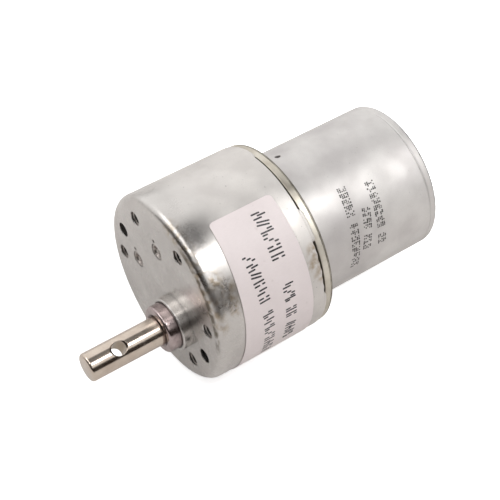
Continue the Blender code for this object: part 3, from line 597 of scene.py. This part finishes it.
MATERIALS = {
    # The zinc's brown tone is partly stains and partly painted shade and reflection; its crease has a
    # painted dark reflection.
    "zinc_plate": metal("zinc_plate", ((0.75, 0.72, 0.69), (0.63, 0.60, 0.575)), (0.48, 0.60),
                        dents=0.05, specks=0.5, burnished=(4.5, 11.0, 0.26, 0.27),
                        stain_and_painted_shade=(STAIN_AND_SHADE_TONE, STAIN_AND_SHADE_PLACES, (2.4, 0.7), (0.40, 0.62)),
                        crease_and_painted_reflection=(CREASE_REFLECTION_TONE, CREASE_AND_REFLECTION_RADIUS, 0.1, (0.8, 0.3), CREASE_AND_REFLECTION_PLACE, (12.5, 9.0))),
    # The can has painted shade in a band at its rear rim and in its corners.
    "can_plate": metal("can_plate", ((0.71, 0.69, 0.67), (0.57, 0.545, 0.535)), (0.50, 0.64),
                       patch=9.0, dents=0.03, painted_corner_shade=0.3, specks=0.2,
                       painted_rim_shade=(CAN_BACK - 0.4, CAN_BACK - 0.02)),
    # The shaft has painted shade inside its cross hole.
    "polished_steel": metal("polished_steel", ((0.64, 0.555, 0.475), (0.54, 0.455, 0.385)), (0.13, 0.23),
                            patch=3.0, grain=(0.5, ROUND_GRAIN), grain_depth=0.0012, wear=0.3,
                            stain_and_painted_shade=(CROSS_HOLE_SHADE, [CROSS_HOLE_CENTRE], (2.95, 2.6), (0.1, 0.3))),
    "gear_steel": metal("gear_steel", ((0.45, 0.44, 0.42), (0.36, 0.35, 0.33)), (0.25, 0.4), patch=3.0),
    # The bush has strong painted shade in its corners.
    "sintered_bronze": metal("sintered_bronze", ((0.50, 0.42, 0.41), (0.345, 0.28, 0.275)), (0.12, 0.26),
                             patch=1.5, grain=(0.18, (1.0, 1.0, 1.0)), grain_depth=0.012, painted_corner_shade=0.8),
    "brass": metal("brass", ((0.75, 0.56, 0.26), (0.62, 0.45, 0.20)), (0.2, 0.35), patch=3.0),
    "ferrite": moulded("ferrite", ((0.06, 0.06, 0.065), (0.04, 0.04, 0.045)), (0.55, 0.75)),
    "laminations": metal("laminations", ((0.33, 0.33, 0.35), (0.25, 0.25, 0.27)), (0.4, 0.55),
                         patch=3.0, grain=(0.5, (1.0, 0.25, 1.0)), grain_depth=0.03),
    "copper_wire": metal("copper_wire", ((0.62, 0.26, 0.12), (0.48, 0.18, 0.08)), (0.25, 0.4),
                         patch=2.0, grain=(0.3, (1.0, 1.0, 1.0)), grain_depth=0.06),
    "copper": metal("copper", ((0.80, 0.42, 0.25), (0.62, 0.30, 0.18)), (0.15, 0.3), patch=2.0),
    "carbon": moulded("carbon", ((0.03, 0.03, 0.03), (0.02, 0.02, 0.02)), (0.5, 0.65)),
    "black_plastic": moulded("black_plastic", ((0.022, 0.022, 0.024), (0.014, 0.014, 0.016)), (0.3, 0.45)),
    "label_paper": paper("label_paper"),
}
# Bare steel: the pins' own tone; on the threads its dark tone and strong painted corner shade stand for
# the shade inside the tapped holes.
BARE_STEEL_AND_HOLE_SHADE = metal("bare_steel_and_hole_shade", ((0.48, 0.445, 0.42), (0.36, 0.32, 0.295)), (0.26, 0.4), patch=1.2,
                  wear=0.3, painted_corner_shade=0.9)
# The plate has painted shade in a band at its rear edge.
CREAM_ZINC = metal("cream_zinc", ((0.66, 0.62, 0.545), (0.52, 0.475, 0.40)), (0.34, 0.46), patch=3.0,
                   dents=0.03, painted_rim_shade=(PLATE_BACK - 0.4, PLATE_BACK - 0.02))
PRINT_INK = ink("print_ink", (0.02, 0.018, 0.02), (0.075, 0.068, 0.068))
STAMP_INK = ink("stamp_ink", (0.025, 0.02, 0.018), (0.08, 0.068, 0.064))


def dress_cad_nodes():
    """Gives every CAD node the procedural material of its slot."""
    for part in frame["record"]["subparts"]:
        node = frame["nodes"][part["node"]]
        node.material_slots[0].material = MATERIALS[part["material_slot"]]


# ---------------------------------------------------------------- gearbox


def screw_hole_axes():
    """The (x, z) of the tapped holes in the face."""
    pitch = 360.0 / SCREW_HOLES
    return [on_circle(HOLE_CIRCLE, FIRST_SCREW_PSI + pitch * i) for i in range(SCREW_HOLES)]


def clamped(value):
    """A value kept between 0 and 1."""
    return min(1.0, max(0.0, value))


def ragged_rim(y, radius, psi):
    """Moves the cup's open rim where it was trimmed roughly, between two angles."""
    depth = 0.32
    height = 0.6
    start, end, fade = 50.0, 86.0, 3.0
    near_rim = clamped((y - HOUSING_BACK + height) / height)
    in_rough_part = clamped(min(psi - start, end - psi) / fade)
    bite = 0.5 + 0.5 * math.sin(psi * 1.9) * math.sin(psi * 3.1 + 0.7)
    return y - depth * bite * near_rim * in_rough_part, radius


def gearbox_shell():
    """The drawn cup: a flat face with its holes, a collar and a thin cylindrical wall."""
    inner = HOUSING_RADIUS - HOUSING_WALL
    profile = rounded([
        (0.0, CORE_RADIUS, 0.0),
        (0.0, HOUSING_RADIUS, FACE_FILLET),
        (HOUSING_BACK, HOUSING_RADIUS, 0.22),
        (HOUSING_BACK, inner, 0.15),
        (FACE_THICKNESS, inner, 0.8),
        (FACE_THICKNESS, CORE_RADIUS, 0.0),
    ], steps=10)
    shell = turned("gearbox_shell", profile, solid=True, warp=ragged_rim)
    sunk = 0.3
    collar = rounded([
        (COLLAR_FRONT, BUSH_RADIUS / 2, 0.0),
        (COLLAR_FRONT, COLLAR_RADIUS, 0.28),
        (sunk, COLLAR_RADIUS, 0.0),
        (sunk, BUSH_RADIUS / 2, 0.0),
    ], steps=8)
    combine(shell, turned("collar", collar, SHAFT_AXIS, MEDIUM, solid=True), "UNION")
    face = (0.0, FACE_THICKNESS)
    for axis in screw_hole_axes():
        bore(shell, axis, face, SCREW_HOLE_RADIUS, chamfer=0.12)
    for psi in LOCATING_HOLE_PSIS:
        bore(shell, on_circle(HOLE_CIRCLE, psi), face, LOCATING_HOLE_RADIUS, chamfer=0.08)
    for axis in PIN_AXES:
        bore(shell, axis, face, PIN_HEAD_RADIUS + SEAT_GAP, chamfer=0.06)
        punch_mark(shell, axis)
    bore(shell, SHAFT_AXIS, (COLLAR_FRONT, FACE_THICKNESS), BUSH_RADIUS + SEAT_GAP, chamfer=0.12,
         steps=MEDIUM)
    show(shell, MATERIALS["zinc_plate"], "stator", ["gearbox_housing"])


def punch_mark(shell, axis):
    """A punched dent beside a pin's head."""
    place = on_circle(PIN_HEAD_RADIUS + 0.75, -22.0, axis)
    dent = turned("dent", [(-0.3, 0.5), (0.0, 0.42), (0.7, 0.3)], place, COARSE, solid=True)
    combine(shell, dent, "DIFFERENCE")


def face_threads():
    """The helical thread inside each tapped hole, fading out at both ends."""
    pitch = 0.5
    steps_per_turn = 40
    depth = 0.24
    half_root = 0.2
    half_crest = 0.04
    start = half_root + 0.12
    root = SCREW_HOLE_RADIUS + 0.02
    count = int((FACE_THICKNESS - 2 * half_root - 0.2) / pitch * steps_per_turn)
    for number, axis in enumerate(screw_hole_axes(), 1):
        bm = bmesh.new()
        rings = []
        for step in range(count + 1):
            psi = 360.0 * step / steps_per_turn
            y = start + pitch * step / steps_per_turn
            crest = SCREW_HOLE_RADIUS - depth * clamped(6.0 * min(step, count - step) / count)
            section = (
                (root, y - half_root), (crest, y - half_crest),
                (crest, y + half_crest), (root, y + half_root),
            )
            ring = []
            for radius, height in section:
                x, z = on_circle(radius, psi, axis)
                ring.append(bm.verts.new((x, height, z)))
            rings.append(ring)
        loft(bm, rings)
        thread = new_object(f"face_thread_{number}", bm)
        # The threads' dark steel stands for the shade inside the holes: painted shade.
        show(thread, BARE_STEEL_AND_HOLE_SHADE, "stator", sharp=50.0)


def pins():
    """The idler pins. Each head is just below the face and has a dimple and a staked ring."""
    stake_depth = 0.7
    for number, axis in enumerate(PIN_AXES, 1):
        profile = rounded([
            (0.22, 0.2, 0.0),
            (0.3, 0.5, 0.1),
            (stake_depth, 0.75, 0.08),
            (stake_depth, 1.0, 0.08),
            (0.1, 1.3, 0.1),
            (0.12, PIN_HEAD_RADIUS, 0.12),
            (FACE_THICKNESS, PIN_HEAD_RADIUS, 0.05),
            (FACE_THICKNESS, PIN_RADIUS, 0.0),
            (PLATE_BACK, PIN_RADIUS, 0.15),
            (PLATE_BACK, CORE_RADIUS, 0.0),
        ])
        pin = turned(f"pin_{number}", profile, axis, COARSE, solid=True)
        show(pin, BARE_STEEL_AND_HOLE_SHADE, "stator", [f"idler_pin_{number}"])


def back_plate():
    """The plate that closes the cup. Its rim has a groove, and is a little smaller behind it."""
    register = HOUSING_RADIUS - HOUSING_WALL - SEAT_GAP
    parting = PLATE_BACK - 0.5
    half_groove = 0.1
    rear_radius = PLATE_RADIUS - 0.03
    profile = rounded([
        (PLATE_FRONT, CORE_RADIUS, 0.0),
        (PLATE_FRONT, register, 0.25),
        (PLATE_RIM_FRONT, register, 0.0),
        (PLATE_RIM_FRONT, PLATE_RADIUS, 0.15),
        (parting - half_groove, PLATE_RADIUS, 0.0),
        (parting, PLATE_RADIUS - 0.14, 0.0),
        (parting + half_groove, rear_radius, 0.0),
        (PLATE_BACK, rear_radius, 0.3),
        (PLATE_BACK, CORE_RADIUS, 0.0),
    ], steps=6)
    plate = turned("back_plate", profile, solid=True)
    through = (PLATE_FRONT, PLATE_BACK)
    bore(plate, (0.0, 0.0), through, HUB_RADIUS + SEAT_GAP)
    bore(plate, SHAFT_AXIS, through, REAR_BUSH_RADIUS + SEAT_GAP)
    for axis in PIN_AXES:
        bore(plate, axis, through, PIN_RADIUS + SEAT_GAP)
    for axis in SCREW_AXES:
        bore(plate, axis, through, SCREW_RADIUS + SEAT_GAP)
    show(plate, CREAM_ZINC, "stator", ["gearbox_back_plate"])


def crimp_bead(name, start, end):
    """A short stretch where the cup's rim is rolled over the gap onto the plate."""
    steps = 40
    arc_steps = 8
    middle = HOUSING_BACK + RIM_GAP / 2
    base = HOUSING_RADIUS - 0.35
    bm = bmesh.new()
    rings = []
    for step in range(steps + 1):
        part = step / steps
        psi = start + (end - start) * part
        taper = math.sqrt(max(0.0, 1 - (2 * part - 1) ** 8))
        wobble = 0.04 * math.sin(psi * 1.3) + 0.03 * math.sin(psi * 2.9 + 1.0)
        half_width = (0.55 + wobble) * taper + 0.02
        height = 0.07 + 0.26 * taper
        ring = []
        for arc_step in range(arc_steps + 1):
            angle = math.pi * arc_step / arc_steps
            x, z = on_circle(base + height * math.sin(angle), psi)
            ring.append(bm.verts.new((x, middle - half_width * math.cos(angle), z)))
        rings.append(ring)
    loft(bm, rings)
    show(new_object(name, bm), MATERIALS["zinc_plate"], "stator", sharp=60.0)


def rim_crimps():
    """The crimped stretches of the rim."""
    for number, (start, end) in enumerate(CRIMP_SPANS, 1):
        crimp_bead(f"rim_crimp_{number}", start, end)


def output_bush():
    """The sintered bush that stands out of the collar."""
    bore_radius = SHAFT_RADIUS + RUNNING_GAP
    mouth = 0.5
    profile = rounded([
        (BUSH_FRONT, bore_radius + mouth, 0.08),
        (BUSH_FRONT, BUSH_RADIUS, 0.6),
        (BUSH_BACK, BUSH_RADIUS, 0.2),
        (BUSH_BACK, bore_radius, 0.1),
        (BUSH_FRONT + mouth, bore_radius, 0.1),
    ])
    bush = turned("shaft_bush", profile, SHAFT_AXIS, MEDIUM)
    show(bush, MATERIALS["sintered_bronze"], "stator", ["output_bush"])


def output_shaft():
    """The polished output shaft, cross-drilled for a pin."""
    groove_front, groove_back = GROOVE_SPAN
    end_disc = 0.4
    profile = rounded([
        (SHAFT_TIP, end_disc, 0.0),
        (SHAFT_TIP, SHAFT_RADIUS, 0.6),
        (groove_front, SHAFT_RADIUS, 0.0),
        (groove_front, GROOVE_RADIUS, 0.05),
        (groove_back, GROOVE_RADIUS, 0.05),
        (groove_back, SHAFT_RADIUS, 0.0),
        (JOURNAL_START, SHAFT_RADIUS, 0.2),
        (JOURNAL_START, JOURNAL_RADIUS, 0.05),
        (SHAFT_BACK, JOURNAL_RADIUS, 0.2),
        (SHAFT_BACK, end_disc, 0.0),
    ])
    shaft = turned("drive_shaft", profile, SHAFT_AXIS, MEDIUM, solid=True)
    lip = 0.6
    lip_start = SHAFT_RADIUS - 0.42
    for side in (1.0, -1.0):
        drill = turned("drill", [
            (-0.1, CROSS_HOLE_RADIUS),
            (lip_start, CROSS_HOLE_RADIUS),
            (lip_start + lip, CROSS_HOLE_RADIUS + lip),
            (SHAFT_RADIUS + 1.0, CROSS_HOLE_RADIUS + lip),
        ], steps=COARSE, solid=True)
        place_mesh(drill, aimed(side * away_from_axis(CROSS_HOLE_PSI)), CROSS_HOLE_CENTRE)
        combine(shaft, drill, "DIFFERENCE")
    show(shaft, MATERIALS["polished_steel"], "output", ["output_shaft"])


# ---------------------------------------------------------------- motor


def can_shell():
    """The drawn can, with a small vent hole, and a shallow groove near its rear edge. That edge is
    rolled in and staked over the end cap."""
    inner = CAN_RADIUS - CAN_WALL
    bush_seat = MOTOR_BUSH_RADIUS + SEAT_GAP
    wall_back = CAN_FRONT + CAN_WALL
    groove = CAN_BACK - 1.8
    rear_radius = CAN_RADIUS - 0.01
    profile = rounded([
        (HUB_FRONT, bush_seat, 0.1),
        (HUB_FRONT, HUB_RADIUS, 0.2),
        (CAN_FRONT, HUB_RADIUS, 0.0),
        (CAN_FRONT, CAN_RADIUS, 0.7),
        (groove - 0.25, CAN_RADIUS, 0.1),
        (groove, CAN_RADIUS - 0.12, 0.12),
        (groove + 0.3, rear_radius, 0.2),
        (CAN_BACK, rear_radius, 0.6),
        (CAN_BACK, CAN_LIP_RADIUS, 0.35),
        (CAN_LIP_FRONT, CAN_LIP_RADIUS, 0.2),
        (CAN_LIP_FRONT, inner, 0.1),
        (wall_back, inner, 0.3),
        (wall_back, HUB_RADIUS, 0.0),
        (HUB_BACK, HUB_RADIUS, 0.2),
        (HUB_BACK, bush_seat, 0.1),
    ], steps=8)
    can = turned("can_shell", profile)
    for axis in SCREW_AXES:
        bore(can, axis, (CAN_FRONT - 0.5, wall_back), SCREW_RADIUS + SEAT_GAP)
    countersink = 0.5
    vent = turned("vent", [
        (inner - 0.5, VENT_RADIUS),
        (CAN_RADIUS - 0.1, VENT_RADIUS),
        (CAN_RADIUS - 0.1 + countersink, VENT_RADIUS + countersink),
    ], steps=COARSE, solid=True)
    place_mesh(vent, aimed(away_from_axis(VENT_PSI)), (0.0, VENT_Y, 0.0))
    combine(can, vent, "DIFFERENCE")
    for quarter in range(4):
        place = on_circle(CAN_LIP_RADIUS - 0.1, FIRST_STAKE_PSI + 90.0 * quarter)
        punch = [(CAN_BACK - 0.55, 0.35), (CAN_BACK + 0.3, 1.25)]
        combine(can, turned("punch", punch, place, steps=32, solid=True), "DIFFERENCE")
    show(can, MATERIALS["can_plate"], "stator", ["motor_can"])


def beside_terminal(psi, outward, sideways):
    """The (x, z) of a point given outward and sideways from a terminal's direction."""
    out = on_circle(1.0, psi)
    side = on_circle(1.0, psi + 90.0)
    return outward * out[0] + sideways * side[0], outward * out[1] + sideways * side[1]


def terminal_point(psi, outward, sideways, y):
    """A point beside a terminal at a height along Y."""
    x, z = beside_terminal(psi, outward, sideways)
    return x, y, z


def terminal_outline(psi, margin, fillet=0.0):
    """A terminal's cross-section, grown by a margin all round."""
    low_out, high_out = TERMINAL_OUT[0] - margin, TERMINAL_OUT[1] + margin
    low_side, high_side = TERMINAL_SIDE[0] - margin, TERMINAL_SIDE[1] + margin
    corners = [(low_out, low_side), (high_out, low_side), (high_out, high_side), (low_out, high_side)]
    flat = rounded([(*corner, fillet) for corner in corners])
    return [beside_terminal(psi, *point) for point in flat]


def end_cap():
    """The moulded cap: a raised hub, a raised ring, ribs, dimples and a slotted boss for each
    terminal."""
    face = CAN_LIP_FRONT - SEAT_GAP
    wall_front = face - 1.8
    skirt_inner = CAP_RADIUS - 1.4
    hub_radius = 4.0
    hub_back = CAN_BACK - 0.2
    pocket = MOTOR_BUSH_RADIUS + SEAT_GAP
    pocket_front = node_box("motor_rear_bush")[0].y
    pocket_end = node_box("motor_rear_bush")[1].y + 0.1
    ring_back = face + 0.35
    dish = hub_back - 0.4
    end_disc = 0.3
    profile = rounded([
        (pocket_end, end_disc, 0.0),
        (pocket_end, pocket, 0.0),
        (pocket_front, pocket, 0.2),
        (pocket_front, hub_radius, 0.3),
        (wall_front, hub_radius, 0.3),
        (wall_front, skirt_inner, 0.3),
        (CAP_FRONT, skirt_inner, 0.2),
        (CAP_FRONT, CAP_RADIUS, 0.2),
        (face, CAP_RADIUS, 0.15),
        (face, 13.0, 0.1),
        (ring_back, 12.7, 0.12),
        (ring_back, 11.9, 0.12),
        (face, 11.6, 0.15),
        (face, hub_radius + 0.3, 0.3),
        (hub_back, hub_radius - 0.2, 0.3),
        (hub_back, 1.9, 0.1),
        (dish, 1.6, 0.1),
        (dish, end_disc, 0.0),
    ], steps=5)
    cap = turned("rear_cap", profile, solid=True)
    for psi in TERMINAL_PSIS:
        boss = extruded("boss", terminal_outline(psi, 0.75, fillet=0.35), (face - 0.5, face + 0.7))
        combine(cap, boss, "UNION")
        slot = extruded("slot", terminal_outline(psi, 0.1), (wall_front - 1, CAN_BACK + 1))
        combine(cap, slot, "DIFFERENCE")
    for middle in (-12.5, 167.5):
        for turn in (-22.0, 0.0, 22.0):
            spoke = rib(middle + turn, hub_radius + 1.4, 11.0, (face - 0.5, face + 0.3))
            combine(cap, spoke, "UNION")
    for psi in (122.5, 302.5):
        dimple = [(face - 0.25, 1.1), (face + 1.0, 1.1)]
        combine(cap, turned("dimple", dimple, on_circle(8.6, psi), steps=48, solid=True), "DIFFERENCE")
    show(cap, MATERIALS["black_plastic"], "stator", ["end_cap"])


def rib(psi, inner, outer, span):
    """A low radial rib on the end cap."""
    half = 0.4
    corners = rounded([(inner, -half, 0.3), (outer, -half, 0.3), (outer, half, 0.3), (inner, half, 0.3)])
    return extruded("rib", [beside_terminal(psi, *corner) for corner in corners], span)


def terminals():
    """The flat blades, with a tapered tip and an eye for a lead."""
    low, high = TERMINAL_OUT
    near_side, far_side = TERMINAL_SIDE
    shoulder = TERMINAL_BACK - 0.9
    taper = 0.45
    eye_radius = 0.6
    outline = rounded([
        (TERMINAL_FRONT, low, 0.1),
        (TERMINAL_FRONT, high, 0.1),
        (shoulder, high, 0.3),
        (TERMINAL_BACK, high - taper, 0.25),
        (TERMINAL_BACK, low + taper, 0.25),
        (shoulder, low, 0.3),
    ])
    for number, psi in enumerate(TERMINAL_PSIS, 1):
        bm = bmesh.new()
        sides = [[bm.verts.new(terminal_point(psi, out, sideways, y)) for y, out in outline]
                 for sideways in (near_side, far_side)]
        loft(bm, sides)
        blade = new_object(f"blade_{number}", bm)
        eye = turned("eye", [(near_side - 1.0, eye_radius), (far_side + 1.0, eye_radius)], steps=32,
                     solid=True)
        centre = terminal_point(psi, (low + high) / 2, 0.0, TERMINAL_BACK - 1.3)
        place_mesh(eye, aimed(away_from_axis(psi + 90.0)), centre)
        combine(blade, eye, "DIFFERENCE")
        bevel = blade.modifiers.new("edges", "BEVEL")
        bevel.width = 0.05 * MM
        bevel.segments = 2
        show(blade, MATERIALS["brass"], "stator", [f"terminal_{number}"])


# ---------------------------------------------------------------- label and print


LABEL_START = 17.0
LABEL_END = 149.0
LABEL_RADIUS = HOUSING_RADIUS + 0.03
LABEL_THICKNESS = 0.11


def label_edges(part):
    """The y of the label's front and rear edge, at a part of its length. Both lean a little, and
    the front edge bends."""
    bend = 0.72
    front = 7.0 - 1.9 * min(part / bend, 1.0) + 0.4 * max(part - bend, 0.0)
    return front, 21.3 + 0.9 * part


def label():
    """A paper label wrapped part of the way round the gearbox, with rounded corners. Its columns
    are closer together at both ends, where the corners are."""
    columns = 150
    rows = 20
    corner = 0.9
    closer = 0.35
    sweep = LABEL_END - LABEL_START
    length = math.radians(sweep) * LABEL_RADIUS
    bm = bmesh.new()
    layers = []
    for lift in (0.0, LABEL_THICKNESS):
        grid = []
        for column in range(columns + 1):
            even = column / columns
            eased = 0.5 - 0.5 * math.cos(math.pi * even)
            part = closer * eased + (1 - closer) * even
            short = max(0.0, corner - min(part, 1 - part) * length)
            inset = corner - math.sqrt(max(0.0, corner**2 - short**2))
            front, rear = label_edges(part)
            x, z = on_circle(LABEL_RADIUS + lift, LABEL_START + sweep * part)
            step = (rear - front - 2 * inset) / rows
            grid.append([bm.verts.new((x, front + inset + step * row, z)) for row in range(rows + 1)])
        layers.append(grid)
    for grid in layers:
        for left, right in zip(grid, grid[1:]):
            for row in range(rows):
                bm.faces.new((left[row], left[row + 1], right[row + 1], right[row]))
    rim = [(column, 0) for column in range(columns + 1)]
    rim += [(columns, row) for row in range(1, rows + 1)]
    rim += [(column, rows) for column in range(columns - 1, -1, -1)]
    rim += [(0, row) for row in range(rows - 1, 0, -1)]
    join_rings(bm, [[grid[column][row] for column, row in rim] for grid in layers])
    show(new_object("paper_label", bm), MATERIALS["label_paper"], "stator", ["label"])


# Marks that stand for print, none of them a letter or a digit: groups of straight strokes in a unit
# cell, each given by its ends.
MARKS = (
    (((0.1, 0.0), (0.1, 1.0)), ((0.5, 0.0), (0.5, 0.45)), ((0.5, 0.8), (0.5, 1.0))),
    (((0.1, 0.0), (0.1, 0.4)), ((0.1, 0.75), (0.1, 1.0)), ((0.5, 0.0), (0.5, 1.0))),
    (((0.05, 0.6), (0.05, 0.95)), ((0.35, 0.0), (0.35, 1.0)), ((0.65, 0.05), (0.65, 0.4))),
    (((0.1, 0.3), (0.1, 1.0)), ((0.5, 0.0), (0.5, 0.7))),
    (((0.05, 0.1), (0.3, 1.0)), ((0.4, 0.0), (0.65, 0.9))),
    (((0.05, 0.0), (0.05, 0.25)), ((0.35, 0.35), (0.35, 0.65)), ((0.65, 0.75), (0.65, 1.0))),
    (((0.05, 0.0), (0.05, 0.6)), ((0.35, 0.4), (0.35, 1.0)), ((0.65, 0.0), (0.65, 0.6))),
)


def print_line(radius, start, end):
    """The length of a line of print on a cylinder, from one (y, psi) to another, and a function
    that places a point given along the line, across it and above the surface."""
    first = Vector((math.radians(start[1]) * radius, start[0]))
    last = Vector((math.radians(end[1]) * radius, end[0]))
    along = (last - first).normalized()
    across = Vector((-along.y, along.x))

    def placed(step, rise, lift):
        flat = first + along * step + across * rise
        x, z = on_circle(radius + lift, math.degrees(flat.x / radius))
        return x, flat.y, z

    return (last - first).length, placed


def lay_slab(bm, rim, placed, span):
    """A thin slab over an outline on the curved surface, from one height above it to another."""
    layers = [[bm.verts.new(placed(point.x, point.y, lift)) for point in rim] for lift in span]
    loft(bm, layers)


def arc_points(centre, radius, start, sweep, count):
    """Points along an arc, angles in radians."""
    angles = [start + sweep * i / (count - 1) for i in range(count)]
    return [centre + Vector((math.cos(angle), math.sin(angle))) * radius for angle in angles]


def marked_row(name, radius, start, end, height, cells, chooser):
    """A row of made-up marks on a cylinder. In cells, x is a mark and a space is a gap. No mark
    comes again before every other has been used."""
    length, placed = print_line(radius, start, end)
    pitch = length / len(cells)
    half_width = 0.17
    deck = []
    bm = bmesh.new()
    for place, cell in enumerate(cells):
        if cell == " ":
            continue
        if not deck:
            deck = chooser.sample(MARKS, len(MARKS))
        for stroke in deck.pop():
            first, last = [Vector(((place + u) * pitch, (v - 0.5) * height)) for u, v in stroke]
            heading = math.atan2(*(last - first).yx)
            rim = arc_points(last, half_width, heading - math.pi / 2, math.pi, 5)
            rim += arc_points(first, half_width, heading + math.pi / 2, math.pi, 5)
            lay_slab(bm, rim, placed, (-0.01, 0.015))
    show(new_object(name, bm), PRINT_INK, "stator")


def dotted_row(name, start, end, height, cells, chooser):
    """A row of cells on the can, each of them some of a grid of small sprayed hexagons."""
    length, placed = print_line(CAN_RADIUS, start, end)
    pitch = length / len(cells)
    columns, rows = 3, 5
    column_width = 0.27
    share_sprayed = 0.7
    bm = bmesh.new()
    for place, cell in enumerate(cells):
        if cell == " ":
            continue
        for spot in range(columns * rows):
            size = chooser.uniform(0.14, 0.22)
            if chooser.random() > share_sprayed:
                continue
            step = (place + column_width * (spot % columns)) * pitch
            rise = (spot // columns / (rows - 1) - 0.5) * height
            rim = arc_points(Vector((step, rise)), size, 0.0, 5 * math.pi / 3, 6)
            lay_slab(bm, rim, placed, (-0.006, 0.008))
    show(new_object(name, bm), STAMP_INK, "stator")


def printing():
    """Rows of made-up marks on the label and of sprayed dots on the can."""
    chooser = random.Random(7)
    top = LABEL_RADIUS + LABEL_THICKNESS
    marked_row("label_print_1", top, (10.6, 42.0), (11.5, 116.0), 2.2, "xxxxxx xxxxxxxx", chooser)
    marked_row("label_print_2", top, (16.8, 23.5), (16.4, 53.0), 2.7, "xxxxxx", chooser)
    marked_row("label_print_3", top, (16.5, 66.0), (16.2, 109.0), 2.3, "xxx xx xxxx", chooser)
    dotted_row("can_print_1", (37.2, 31.0), (35.6, 96.0), 1.7, "xxxxx xxxxxxxx", chooser)
    dotted_row("can_print_2", (40.4, 52.0), (38.6, 84.0), 1.7, "xxxx xxx", chooser)
    dotted_row("can_print_3", (43.4, 36.0), (42.6, 86.0), 1.7, "xxxxxxxx xx", chooser)


# ---------------------------------------------------------------- studio


def studio_floor():
    """A plain floor that the gearbox lies on, white to the camera and greyer to everything else."""
    material, tree, shader = new_material("floor_white")
    grain = mixed(tree, noise(tree, 40.0, detail=2.0), (0.92, 0.92, 0.92), (0.90, 0.90, 0.90))
    seen = add_node(tree, "ShaderNodeLightPath").outputs["Is Camera Ray"]
    set_inputs(tree, shader, {
        "Base Color": mixed(tree, seen, (0.69, 0.67, 0.655), grain),
        "Roughness": 0.8, "Emission Color": (1.0, 1.0, 1.0, 1.0),
        "Emission Strength": spread(tree, seen, 0.0, 1.0, 0.06, 0.62)})
    half = 4000.0
    ground = cad_bounds[0].z / MM
    bm = bmesh.new()
    corners = ((-half, -half), (half, -half), (half, half), (-half, half))
    bm.faces.new([bm.verts.new((x, y, ground)) for x, y in corners])
    floor = new_object("floor", bm)
    floor.data.materials.append(material)


def softbox(name, angle, half_width, span, brightness, distance=0.8):
    """A soft light beside the motor's axis.

    The angle, from overhead towards +X, and the half width are in degrees, seen from the axis. The
    span along Y and the distance are in metres. The brightness is what a mirror would show of it."""
    outward = away_from_axis(angle)
    light = bpy.data.lights.new(name, "AREA")
    light.shape = "RECTANGLE"
    light.size = 2 * distance * math.tan(math.radians(half_width))
    light.size_y = span[1] - span[0]
    light.energy = brightness * math.pi * light.size * light.size_y
    lamp = bpy.data.objects.new(name, light)
    bpy.context.scene.collection.objects.link(lamp)
    facing = Matrix((ALONG.cross(outward), ALONG, outward)).transposed().to_4x4()
    lamp.matrix_world = Matrix.Translation(outward * distance + ALONG * sum(span) / 2) @ facing
    lamp.visible_camera = False


def room():
    """The grey room that the metal mirrors, darker low down in front and to the right. The camera
    sees it white."""
    world = bpy.data.worlds.new("studio")
    world.use_nodes = True
    tree = world.node_tree
    way = add_node(tree, "ShaderNodeTexCoord").outputs["Generated"]
    parts = add_node(tree, "ShaderNodeSeparateXYZ", {"Vector": way}).outputs
    ahead = calculate(tree, "MAXIMUM", product(tree, parts["Y"], -1.0), parts["X"])
    low = product(tree, spread(tree, parts["Z"], 0.6, 0.4), spread(tree, ahead, 0.3, 0.5))
    walls = mixed(tree, low, (0.25, 0.25, 0.25), (0.035, 0.027, 0.022))
    seen = add_node(tree, "ShaderNodeLightPath").outputs["Is Camera Ray"]
    set_inputs(tree, tree.nodes["Background"], {"Color": mixed(tree, seen, walls, (0.97, 0.97, 0.97))})
    bpy.context.scene.world = world


def studio():
    """The floor, the lights and the room."""
    studio_floor()
    softbox("key_light", 28.5, 7.5, (0.0, 1.1), 6.2)
    softbox("key_edge_light", 47.0, 9.0, (-0.25, 1.1), 0.9)
    softbox("rear_side_light", 68.0, 26.0, (0.085, 0.2), 0.8, distance=0.17)
    softbox("fill_light", -54.0, 34.0, (-0.95, 1.45), 0.95)
    softbox("front_light", -20.0, 23.0, (-0.65, -0.15), 1.9)
    softbox("front_key_light", 13.0, 5.0, (-0.65, -0.15), 4.0)
    room()
    bpy.context.scene.view_settings.view_transform = "Standard"


def camera():
    """The camera, looking down over the face's right side. Its azimuth is from -Y towards +X."""
    azimuth = math.radians(54.6)
    elevation = math.radians(46.8)
    target = Vector((5.174, 17.274, 5.439)) * MM
    distance = 256.172 * MM
    back = Vector((
        math.sin(azimuth) * math.cos(elevation),
        -math.cos(azimuth) * math.cos(elevation),
        math.sin(elevation),
    ))
    data = bpy.data.cameras.new("camera")
    data.lens = 92.86
    data.sensor_width = 36.0
    data.clip_start = 0.01
    data.clip_end = 20.0
    viewer = bpy.data.objects.new("camera", data)
    viewer.location = target + back * distance
    viewer.rotation_mode = "QUATERNION"
    viewer.rotation_quaternion = (-back).to_track_quat("-Z", "Y")
    bpy.context.scene.collection.objects.link(viewer)
    bpy.context.scene.camera = viewer


camera()
studio()
dress_cad_nodes()
gearbox_shell()
face_threads()
pins()
back_plate()
rim_crimps()
output_bush()
output_shaft()
can_shell()
end_cap()
terminals()
label()
printing()
